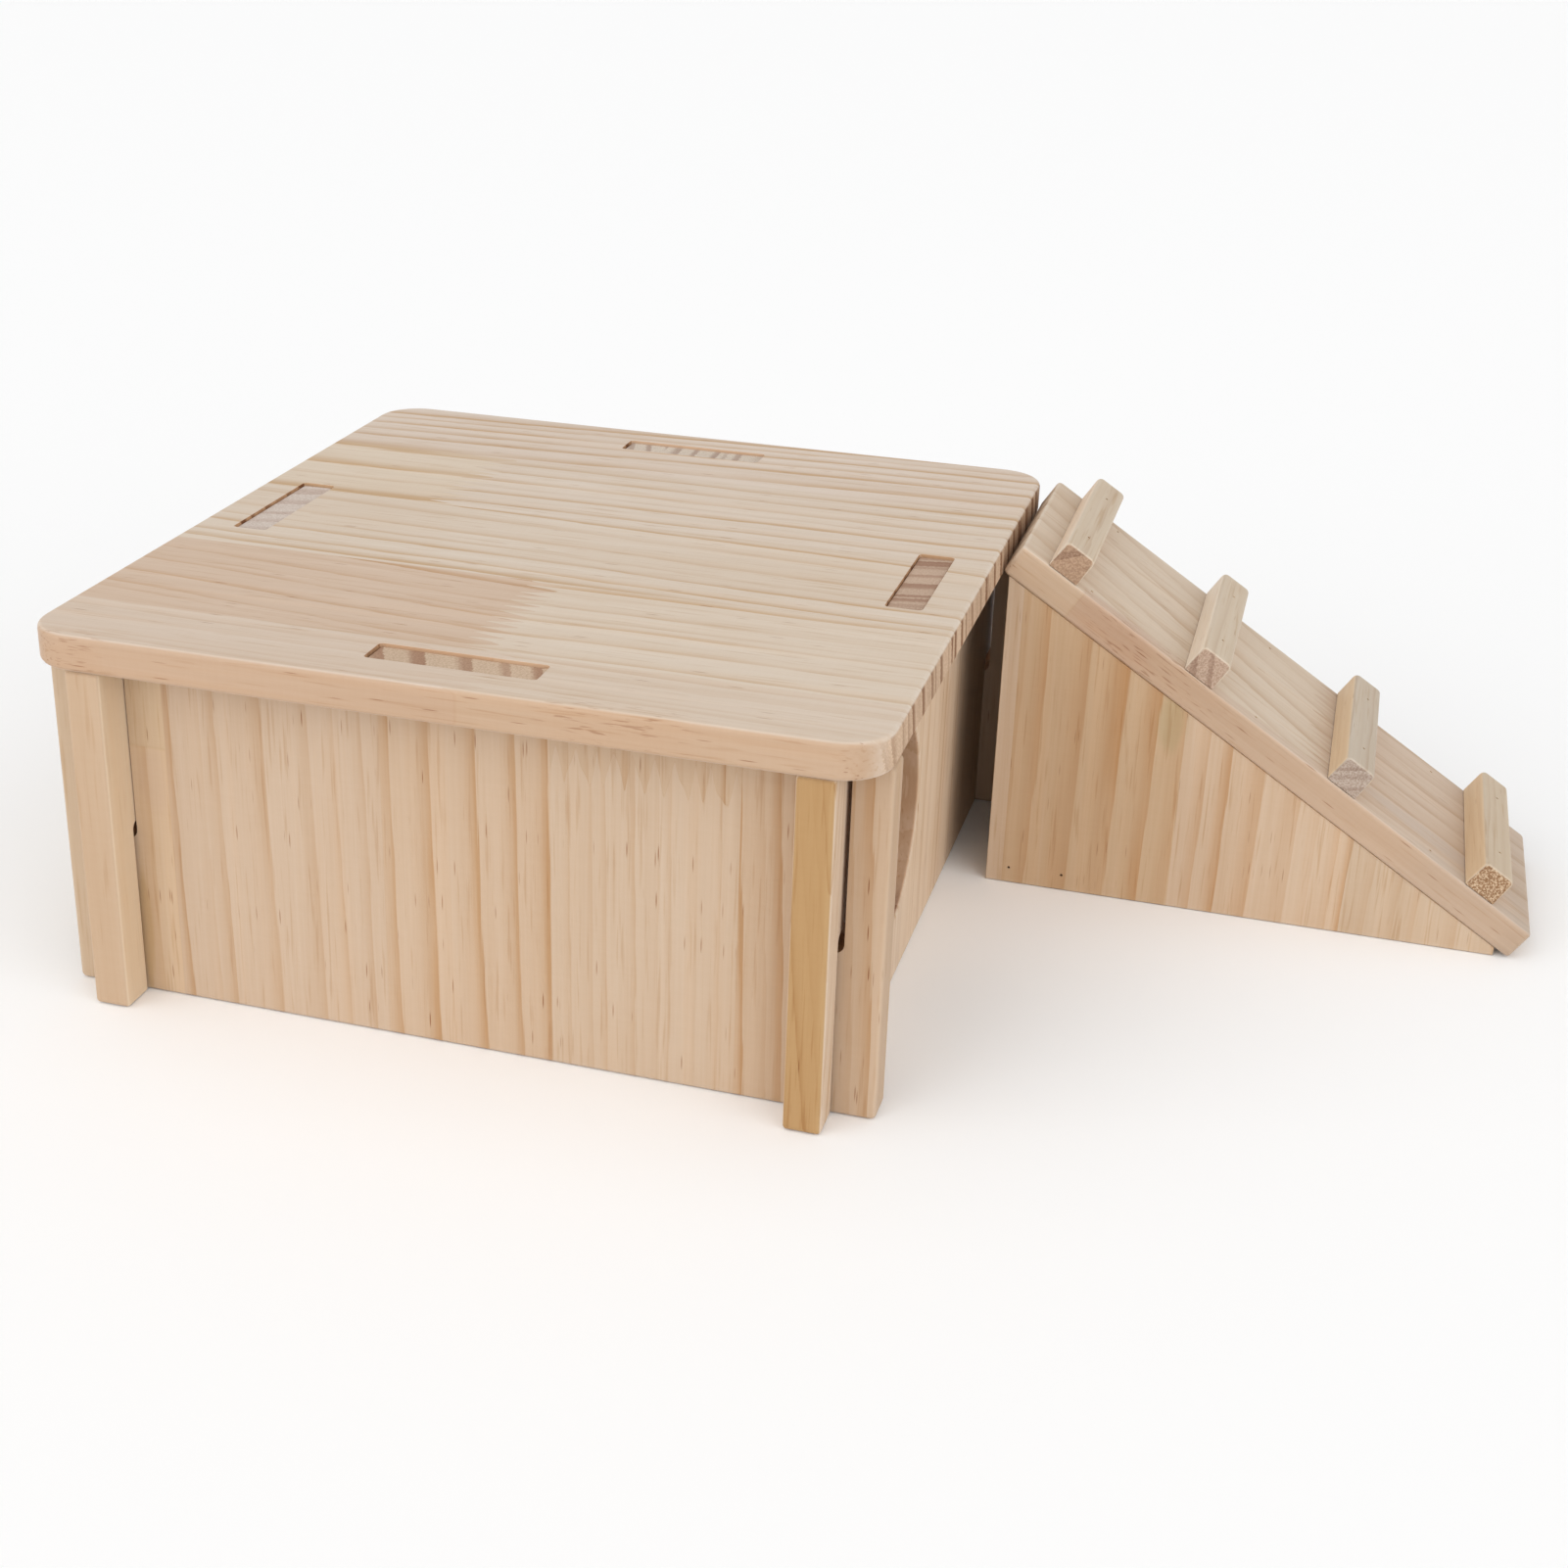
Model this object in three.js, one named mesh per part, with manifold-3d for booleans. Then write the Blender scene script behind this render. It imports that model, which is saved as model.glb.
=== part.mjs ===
// Hamster house of solid pine boards. Four walls halve into each other at the corners, a lid
// drops over a tenon on each wall, and a loose ramp with four cleats leans at the lid's edge.
// Lengths are millimetres. +X runs from the house to the ramp, +Y to the back and +Z up.

import * as THREE from "three";
import { mergeVertices } from "three/addons/utils/BufferGeometryUtils.js";
import Module from "manifold-3d";

// Board stock
const BOARD = 12; // thickness of the walls, lid, ramp board and ramp sides
const EDGE_ROUNDING = 1.2; // sanded long edges of the walls and the ramp board
const CORNER_ROUNDING = 1.8; // sanded corners of a board on its broad face, more than at its edges

// Lid
const LID_LENGTH = 275; // along X
const LID_DEPTH = 283; // along Y
const LID_CORNER_RADIUS = 16;
const LID_ROUNDING = 1.6; // sanded outer edges
const LID_SEAT_GAP = 0.3; // from the wall tops to the lid's underside

// Walls
const WALL_HEIGHT = 118.6; // without the tenon
const FRONT_WALL_SETBACK = 0; // from the lid's side edge in to the front wall's end
const SIDE_WALL_SETBACK = 1.5; // from the lid's front edge in to the side wall's end
const WALL_OVERHANG = 14; // what a wall's end stands out past the wall that crosses it

// Corner laps: the front and back walls are slotted from the top, the side walls from below
const LAP_HEIGHT_SHARE = 0.5; // of the wall height, where the two slots meet
const LAP_PASS = 6.6; // how far the two slots run past each other, which leaves a small window
const LAP_INNER_GAP = 0.4; // from a slot to the inner face of the wall that crosses it
const LAP_OUTER_GAP = 1.6; // from a slot to the outer face of the wall that crosses it
const LAP_CORNER_RADIUS = 3; // left by the cutter at a slot's closed end

// Tenons and the lid slots over them
const TENON_LENGTH = 54.4;
const TENON_RECESS = 1; // from the lid's top down to the tenon's end grain
const TENON_ROUNDING = 0.4;
const TENON_END_GAP = 0.8;
const TENON_SIDE_GAP = 0.3;
const SLOT_CORNER_RADIUS = 1.5;

// Round entry hole in the right wall
const ENTRY_RADIUS = 36;
const ENTRY_HEIGHT_SHARE = 0.506; // of the wall height
const ENTRY_LENGTH_SHARE = 0.332; // of the side wall's length, from its front end

// Ramp
const RAMP_GAP = 0.4; // from the lid's edge to the board's upper end
const RAMP_PLACE_SHARE = 0.163; // of the lid's depth, from its middle to the ramp's near side
const RAMP_WIDTH = 84.5;
const RAMP_ANGLE = 32.7; // degrees
const RAMP_RISE = 3; // from the wall tops up to the lower edge of the board's upper end
const JOINT_GAP = 0.3; // between ramp pieces that are nailed face to face

// Triangular ramp sides and the rail between them
const SIDE_BACK_INSET = 2.1; // from the board's upper end to the back edges of the sides
const SIDE_INSET = 0.6; // from the board's long edge in to the outer face of a side
const SIDE_TIP_HEIGHT = 3; // blunt tip at the floor
const SIDE_ROUNDING = 0.5;
const RAIL_WIDTH = 34;
const RAIL_THICKNESS = 12;
const RAIL_SETBACK = 1.2; // from the back edges of the sides to the rail
const RAIL_ROUNDING = 0.8; // long edges
const RAIL_CORNER_RADIUS = 1.1; // on its broad face, more than the rounding of the edges

// Cleats
const CLEAT_WIDTH = 12.3; // along the slope
const CLEAT_HEIGHT = 11; // square to the slope
const CLEAT_CORNER_RADIUS = 1.9; // of its square section, more than the rounding of its ends
const CLEAT_END_ROUNDING = 0.9;
const CLEAT_END_INSET = 0.8; // from the board's long edge in to the cleat's end
const CLEAT_START_SHARES = [0.049, 0.316, 0.597, 0.868]; // of the board's length, from its upper end

// Headless nails, each in a hole that is a little wider
const PIN_RADIUS = 0.6;
const PIN_CLEARANCE = 0.3;
const PIN_SINK = 0.4; // from the wood's surface down to the pin's end
const PIN_BITE = 13; // into a ramp side or the rail
const CLEAT_PIN_BITE_SHARE = 0.6; // of the board's thickness
const CLEAT_PIN_SHARES = [0.21, 0.78]; // of the ramp's width
const SIDE_PIN_SHARES = [0.13, 0.455, 0.8]; // of the board's length
const RAIL_PIN_SHARES = [0.212, 0.791]; // of the rail's width
const PIN_SIDES = 8;

// Modelling
const CHORD_ERROR = 0.05; // how far a facet may cut inside the arc that it stands for
const ROUNDING_STEPS = 4; // facets across a sanded edge
const OVERRUN = 2; // how far a cutter runs past the surface that it opens
const TENON_ROOT = 5; // how far the tenon's block reaches down inside its wall
const WELD_TOLERANCE = 0.0001;

// Places worked out from the sizes above
const frontWallLength = LID_LENGTH - 2 * FRONT_WALL_SETBACK;
const sideWallLength = LID_DEPTH - 2 * SIDE_WALL_SETBACK;
const frontWallMiddle = sideWallLength / 2 - WALL_OVERHANG - BOARD / 2;
const sideWallMiddle = frontWallLength / 2 - WALL_OVERHANG - BOARD / 2;
const lapMiddle = WALL_HEIGHT * LAP_HEIGHT_SHARE;
const lidBottom = WALL_HEIGHT + LID_SEAT_GAP;
const lidTop = lidBottom + BOARD;
const slope = THREE.MathUtils.degToRad(RAMP_ANGLE);
const rampHeight = WALL_HEIGHT + RAMP_RISE;
const rampRun = rampHeight / Math.tan(slope);
const rampBoardLength = rampHeight / Math.sin(slope);

const wasm = await Module();
wasm.setup();

// Solids and geometries

function solidOf(geometry) {
  const bare = geometry.clone();
  bare.deleteAttribute("normal");
  bare.deleteAttribute("uv");
  const welded = mergeVertices(bare, WELD_TOLERANCE);
  const vertProperties = Float32Array.from(welded.attributes.position.array);
  const triVerts = Uint32Array.from(welded.index.array);
  return new wasm.Manifold(new wasm.Mesh({ numProp: 3, vertProperties, triVerts }));
}

function geometryOf(solid) {
  const { vertProperties, triVerts } = solid.getMesh();
  const indexed = new THREE.BufferGeometry();
  indexed.setAttribute("position", new THREE.BufferAttribute(vertProperties, 3));
  indexed.setIndex(new THREE.BufferAttribute(triVerts, 1));
  const faceted = indexed.toNonIndexed();
  faceted.computeVertexNormals();
  return faceted;
}

function cut(geometry, cutters) {
  const start = solidOf(geometry);
  return geometryOf(cutters.reduce((solid, cutter) => solid.subtract(solidOf(cutter)), start));
}

// Outlines

function arcSteps(radius, angle) {
  const stepAngle = 2 * Math.acos(1 - CHORD_ERROR / radius);
  return Math.max(2, Math.ceil(angle / stepAngle));
}

// Points of an outline whose corners [x, y, radius] are rounded, each by its own radius
function roundedOutline(corners) {
  const points = [];
  corners.forEach(([x, y, radius], index) => {
    const corner = new THREE.Vector2(x, y);
    if (radius === 0) {
      points.push(corner);
      return;
    }
    const [beforeX, beforeY] = corners.at(index - 1);
    const [afterX, afterY] = corners[(index + 1) % corners.length];
    const toBefore = new THREE.Vector2(beforeX, beforeY).sub(corner).normalize();
    const toAfter = new THREE.Vector2(afterX, afterY).sub(corner).normalize();
    const halfAngle = Math.acos(toBefore.dot(toAfter)) / 2;
    const setback = radius / Math.tan(halfAngle);
    const inward = toBefore.clone().add(toAfter).normalize();
    const centre = corner.clone().addScaledVector(inward, radius / Math.sin(halfAngle));
    const first = corner.clone().addScaledVector(toBefore, setback).sub(centre);
    const last = corner.clone().addScaledVector(toAfter, setback).sub(centre);
    const turn = Math.atan2(first.cross(last), first.dot(last));
    const steps = arcSteps(radius, Math.abs(turn));
    for (let step = 0; step <= steps; step += 1) {
      const spoke = first.clone().rotateAround(new THREE.Vector2(), (turn * step) / steps);
      points.push(spoke.add(centre));
    }
  });
  return points;
}

function rectangle(left, bottom, right, top, radius) {
  return roundedOutline([
    [left, bottom, radius],
    [right, bottom, radius],
    [right, top, radius],
    [left, top, radius],
  ]);
}

function circle(x, y, radius) {
  const steps = arcSteps(radius, 2 * Math.PI);
  return new THREE.EllipseCurve(x, y, radius, radius).getPoints(steps).slice(0, steps);
}

// A plate of the given thickness with sanded edges, lying on both sides of its outline's plane
function sandedPlate(outline, thickness, rounding, holes = []) {
  const shape = new THREE.Shape(outline);
  shape.holes = holes.map((hole) => new THREE.Path(hole));
  const geometry = new THREE.ExtrudeGeometry(shape, {
    depth: thickness - 2 * rounding,
    bevelThickness: rounding,
    bevelSize: rounding,
    bevelOffset: -rounding,
    bevelSegments: ROUNDING_STEPS,
  });
  return geometry.translate(0, 0, rounding - thickness / 2);
}

// A square-edged cutter that runs past both faces of a board
function boardCutter(outline) {
  const depth = BOARD + 2 * OVERRUN;
  const geometry = new THREE.ExtrudeGeometry(new THREE.Shape(outline), { depth, bevelEnabled: false });
  return geometry.translate(0, 0, -depth / 2);
}

// Materials

function pine(color) {
  return new THREE.MeshStandardMaterial({ color, roughness: 0.65, metalness: 0 });
}

function steel() {
  return new THREE.MeshStandardMaterial({ color: 0x8a8d90, roughness: 0.4, metalness: 0.9 });
}

function namedMesh(name, geometry, material) {
  const mesh = new THREE.Mesh(geometry, material);
  mesh.name = name;
  return mesh;
}

// Lid: a board with four through slots, one over each wall's tenon

function lidSlot(x, y, alongX) {
  const halfLength = TENON_LENGTH / 2 + TENON_END_GAP;
  const halfWidth = BOARD / 2 + TENON_SIDE_GAP;
  const halfX = alongX ? halfLength : halfWidth;
  const halfY = alongX ? halfWidth : halfLength;
  return boardCutter(rectangle(x - halfX, y - halfY, x + halfX, y + halfY, SLOT_CORNER_RADIUS));
}

function makeLid() {
  const halfX = LID_LENGTH / 2;
  const halfY = LID_DEPTH / 2;
  const outline = rectangle(-halfX, -halfY, halfX, halfY, LID_CORNER_RADIUS);
  const slots = [
    lidSlot(0, -frontWallMiddle, true),
    lidSlot(0, frontWallMiddle, true),
    lidSlot(-sideWallMiddle, 0, false),
    lidSlot(sideWallMiddle, 0, false),
  ];
  const geometry = cut(sandedPlate(outline, BOARD, LID_ROUNDING), slots);
  const lid = namedMesh("lid", geometry, pine(0xd9c6ab));
  lid.position.z = lidBottom + BOARD / 2;
  return lid;
}

// Walls: their outlines are drawn as seen on the broad face, with the height along Y

// One lap slot, from its rounded closed end to its open mouth, on the side that sign gives
function lapCutter(sign, crossing, closedEnd, mouth) {
  const inner = sign * (crossing - BOARD / 2 - LAP_INNER_GAP);
  const outer = sign * (crossing + BOARD / 2 + LAP_OUTER_GAP);
  return boardCutter(
    roundedOutline([
      [inner, closedEnd, LAP_CORNER_RADIUS],
      [outer, closedEnd, LAP_CORNER_RADIUS],
      [outer, mouth, 0],
      [inner, mouth, 0],
    ]),
  );
}

function frontLapCutters() {
  const closedEnd = lapMiddle - LAP_PASS / 2;
  const mouth = WALL_HEIGHT + OVERRUN;
  return [-1, 1].map((sign) => lapCutter(sign, sideWallMiddle, closedEnd, mouth));
}

function sideLapCutters() {
  const closedEnd = lapMiddle + LAP_PASS / 2;
  return [-1, 1].map((sign) => lapCutter(sign, frontWallMiddle, closedEnd, -OVERRUN));
}

function wallGeometry(length, lapCutters, holes) {
  const panelOutline = rectangle(-length / 2, 0, length / 2, WALL_HEIGHT, CORNER_ROUNDING);
  const tenonOutline = rectangle(
    -TENON_LENGTH / 2,
    WALL_HEIGHT - TENON_ROOT,
    TENON_LENGTH / 2,
    lidTop - TENON_RECESS,
    0,
  );
  const panel = solidOf(sandedPlate(panelOutline, BOARD, EDGE_ROUNDING, holes));
  const tenon = solidOf(sandedPlate(tenonOutline, BOARD, TENON_ROUNDING));
  return cut(geometryOf(panel.add(tenon)), lapCutters);
}

function makeFrontOrBackWall(name, y) {
  const wall = namedMesh(name, wallGeometry(frontWallLength, frontLapCutters(), []), pine(0xd9bf98));
  wall.rotation.x = Math.PI / 2;
  wall.position.y = y;
  return wall;
}

function makeSideWall(name, x, holes) {
  const wall = namedMesh(name, wallGeometry(sideWallLength, sideLapCutters(), holes), pine(0xd2b589));
  wall.rotation.set(Math.PI / 2, Math.PI / 2, 0);
  wall.position.x = x;
  return wall;
}

function entryHole() {
  const along = sideWallLength * ENTRY_LENGTH_SHARE - sideWallLength / 2;
  return circle(along, WALL_HEIGHT * ENTRY_HEIGHT_SHARE, ENTRY_RADIUS);
}

// Ramp: its own frame has the origin below the board's upper end, at the near side

function makeRampSide(name, y) {
  const gapUpright = JOINT_GAP / Math.cos(slope);
  const heightAt = (x) => (rampRun - x) * Math.tan(slope) - gapUpright;
  const tip = rampRun - (SIDE_TIP_HEIGHT + gapUpright) / Math.tan(slope);
  const outline = roundedOutline([
    [SIDE_BACK_INSET, 0, 0],
    [tip, 0, 0],
    [tip, SIDE_TIP_HEIGHT, 0],
    [SIDE_BACK_INSET, heightAt(SIDE_BACK_INSET), 0],
  ]);
  const side = namedMesh(name, sandedPlate(outline, BOARD, SIDE_ROUNDING), pine(0xd6bb8c));
  side.rotation.x = Math.PI / 2;
  side.position.y = y;
  return side;
}

function makeRail() {
  const length = RAMP_WIDTH - 2 * (SIDE_INSET + BOARD + JOINT_GAP);
  const outline = rectangle(-RAIL_WIDTH / 2, -length / 2, RAIL_WIDTH / 2, length / 2, RAIL_CORNER_RADIUS);
  const geometry = sandedPlate(outline, RAIL_THICKNESS, RAIL_ROUNDING);
  const rail = namedMesh("ramp_floor_rail", geometry, pine(0xdcc7a2));
  rail.position.set(SIDE_BACK_INSET + RAIL_SETBACK + RAIL_WIDTH / 2, RAMP_WIDTH / 2, RAIL_THICKNESS / 2);
  return rail;
}

function makeRampBoard() {
  const outline = rectangle(0, 0, rampBoardLength, RAMP_WIDTH, CORNER_ROUNDING);
  const board = namedMesh("ramp_board", sandedPlate(outline, BOARD, EDGE_ROUNDING), pine(0xdcc5a0));
  board.position.z = BOARD / 2;
  return board;
}

function makeCleat(name, start) {
  const outline = rectangle(
    -CLEAT_WIDTH / 2,
    -CLEAT_HEIGHT / 2,
    CLEAT_WIDTH / 2,
    CLEAT_HEIGHT / 2,
    CLEAT_CORNER_RADIUS,
  );
  const length = RAMP_WIDTH - 2 * CLEAT_END_INSET;
  const cleat = namedMesh(name, sandedPlate(outline, length, CLEAT_END_ROUNDING), pine(0xdabf92));
  cleat.rotation.x = Math.PI / 2;
  cleat.position.set(start + CLEAT_WIDTH / 2, RAMP_WIDTH / 2, BOARD + JOINT_GAP + CLEAT_HEIGHT / 2);
  return cleat;
}

// Pins: a cylinder stands along Y, so an upright pin is turned about X

function makePin(name, length) {
  return namedMesh(name, new THREE.CylinderGeometry(PIN_RADIUS, PIN_RADIUS, length, PIN_SIDES), steel());
}

function makeUprightPin(name, x, y, surface, length) {
  const pin = makePin(name, length);
  pin.rotation.x = Math.PI / 2;
  pin.position.set(x, y, surface - PIN_SINK - length / 2);
  return pin;
}

function pinHole(pin) {
  const radius = PIN_RADIUS + PIN_CLEARANCE;
  const length = pin.geometry.parameters.height + 2 * (PIN_SINK + OVERRUN);
  return new THREE.CylinderGeometry(radius, radius, length, PIN_SIDES);
}

// Opens the holes for the given pins in a mesh that stands in the same scene
function drill(mesh, pins) {
  const toMesh = mesh.matrixWorld.clone().invert();
  const holes = pins.map((pin) => pinHole(pin).applyMatrix4(pin.matrixWorld).applyMatrix4(toMesh));
  mesh.geometry = cut(mesh.geometry, holes);
}

function makeCleatPins(cleats) {
  const surface = BOARD + JOINT_GAP + CLEAT_HEIGHT;
  const length = CLEAT_HEIGHT + JOINT_GAP + BOARD * CLEAT_PIN_BITE_SHARE;
  return cleats.map((cleat, row) =>
    CLEAT_PIN_SHARES.map((share, column) => {
      const name = `cleat_pin_${row + 1}_${column + 1}`;
      return makeUprightPin(name, cleat.position.x, RAMP_WIDTH * share, surface, length);
    }),
  );
}

function makeSidePins(label, y) {
  const length = BOARD + JOINT_GAP + PIN_BITE;
  return SIDE_PIN_SHARES.map((share, index) =>
    makeUprightPin(`${label}_pin_${index + 1}`, rampBoardLength * share, y, BOARD, length),
  );
}

function makeRailPins(label, sign) {
  const length = BOARD + JOINT_GAP + PIN_BITE;
  const outerFace = RAMP_WIDTH / 2 - SIDE_INSET;
  return RAIL_PIN_SHARES.map((share, index) => {
    const pin = makePin(`${label}_rail_pin_${index + 1}`, length);
    const along = SIDE_BACK_INSET + RAIL_SETBACK + RAIL_WIDTH * share;
    const across = RAMP_WIDTH / 2 + sign * (outerFace - PIN_SINK - length / 2);
    pin.position.set(along, across, RAIL_THICKNESS / 2);
    return pin;
  });
}

function makeRamp() {
  const nearMiddle = SIDE_INSET + BOARD / 2;
  const farMiddle = RAMP_WIDTH - nearMiddle;
  const nearSide = makeRampSide("ramp_near_side", nearMiddle);
  const farSide = makeRampSide("ramp_far_side", farMiddle);
  const rail = makeRail();
  const board = makeRampBoard();
  const cleats = CLEAT_START_SHARES.map((share, index) =>
    makeCleat(`ramp_cleat_${index + 1}`, rampBoardLength * share),
  );
  const cleatPins = makeCleatPins(cleats);
  const nearPins = makeSidePins("near_side", nearMiddle);
  const farPins = makeSidePins("far_side", farMiddle);
  const nearRailPins = makeRailPins("near", -1);
  const farRailPins = makeRailPins("far", 1);

  const sloped = new THREE.Group();
  sloped.add(board, ...cleats, ...cleatPins.flat(), ...nearPins, ...farPins);
  sloped.position.z = rampHeight;
  sloped.rotation.y = slope;

  const ramp = new THREE.Group();
  ramp.add(nearSide, farSide, rail, ...nearRailPins, ...farRailPins, sloped);
  ramp.position.set(LID_LENGTH / 2 + RAMP_GAP, LID_DEPTH * RAMP_PLACE_SHARE, 0);
  ramp.updateMatrixWorld(true);

  drill(board, [...cleatPins.flat(), ...nearPins, ...farPins]);
  drill(nearSide, [...nearPins, ...nearRailPins]);
  drill(farSide, [...farPins, ...farRailPins]);
  drill(rail, [...nearRailPins, ...farRailPins]);
  cleats.forEach((cleat, index) => drill(cleat, cleatPins[index]));
  return ramp;
}

// Whole object, with its origin on the floor in the middle of its footprint

function makeAssembly() {
  const assembly = new THREE.Group();
  assembly.add(
    makeFrontOrBackWall("front_wall", -frontWallMiddle),
    makeFrontOrBackWall("back_wall", frontWallMiddle),
    makeSideWall("left_wall", -sideWallMiddle, []),
    makeSideWall("right_wall", sideWallMiddle, [entryHole()]),
    makeLid(),
    makeRamp(),
  );
  const middle = new THREE.Box3().setFromObject(assembly, true).getCenter(new THREE.Vector3());
  assembly.position.set(-middle.x, -middle.y, 0);
  return assembly;
}

const hamsterHouse = new THREE.Group();
hamsterHouse.add(makeAssembly());

export default hamsterHouse;
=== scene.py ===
import math
import random

import bmesh
import bpy
from mathutils import Matrix, Vector


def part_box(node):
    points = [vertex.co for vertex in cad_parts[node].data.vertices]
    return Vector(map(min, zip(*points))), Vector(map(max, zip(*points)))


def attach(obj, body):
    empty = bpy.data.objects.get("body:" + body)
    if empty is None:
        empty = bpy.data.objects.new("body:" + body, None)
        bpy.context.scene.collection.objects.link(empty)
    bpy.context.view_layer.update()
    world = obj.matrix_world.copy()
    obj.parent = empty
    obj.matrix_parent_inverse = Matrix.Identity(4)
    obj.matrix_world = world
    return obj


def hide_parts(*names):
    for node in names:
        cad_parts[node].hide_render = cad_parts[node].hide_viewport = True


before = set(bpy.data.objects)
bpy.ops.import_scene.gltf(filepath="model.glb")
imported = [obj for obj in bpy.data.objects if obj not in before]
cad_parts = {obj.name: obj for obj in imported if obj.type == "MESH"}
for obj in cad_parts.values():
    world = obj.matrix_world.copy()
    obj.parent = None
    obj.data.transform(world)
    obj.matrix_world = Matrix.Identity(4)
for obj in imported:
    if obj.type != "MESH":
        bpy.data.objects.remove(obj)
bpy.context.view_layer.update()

# Hamster house of sanded pine: four halved walls, a lift-off lid and a loose ramp with cleats.
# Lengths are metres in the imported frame, unless a name ends in MM.

MM = 0.001

# Grain directions. Every board has a grain axis, an axis across its width and one through it.
RAMP_SLOPE = math.radians(32.7)
EAST = Vector((1, 0, 0))
NORTH = Vector((0, 1, 0))
UP = Vector((0, 0, 1))
DOWNHILL = Vector((math.cos(RAMP_SLOPE), 0, -math.sin(RAMP_SLOPE)))
OFF_RAMP = Vector((math.sin(RAMP_SLOPE), 0, math.cos(RAMP_SLOPE)))

# Finger joints of the glued panels
FINGER_PITCH_MM = 5.0
WALL_FINGER_PITCH_MM = 6.2
FINGER_LENGTH_MM = 11.5
FINGER_BLUNT_SHARE = 0.06


# Board sizes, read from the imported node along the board's own axes

class Board:
    """Where a board is and how its grain runs."""

    def __init__(self, node, grain, across):
        self.grain = grain.normalized()
        self.across = across.normalized()
        self.through = self.grain.cross(self.across)
        points = [vertex.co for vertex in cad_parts[node].data.vertices]
        self.centre = Vector((0, 0, 0))
        self.half_mm = []
        for axis in (self.grain, self.across, self.through):
            places = [point.dot(axis) for point in points]
            self.centre += axis * (min(places) + max(places)) / 2
            self.half_mm.append((max(places) - min(places)) / 2 / MM)

    def turn(self):
        """Euler angles that take the X, Y and Z axes to the board's own axes."""
        columns = Matrix((self.grain, self.across, self.through)).transposed()
        return columns.to_euler("XYZ")


# Shader building

# The Mix node has sockets for every kind of data; these are the ones for colours
MIX_SHARE = 0
MIX_FIRST = 6
MIX_SECOND = 7
MIX_RESULT = 2


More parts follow.
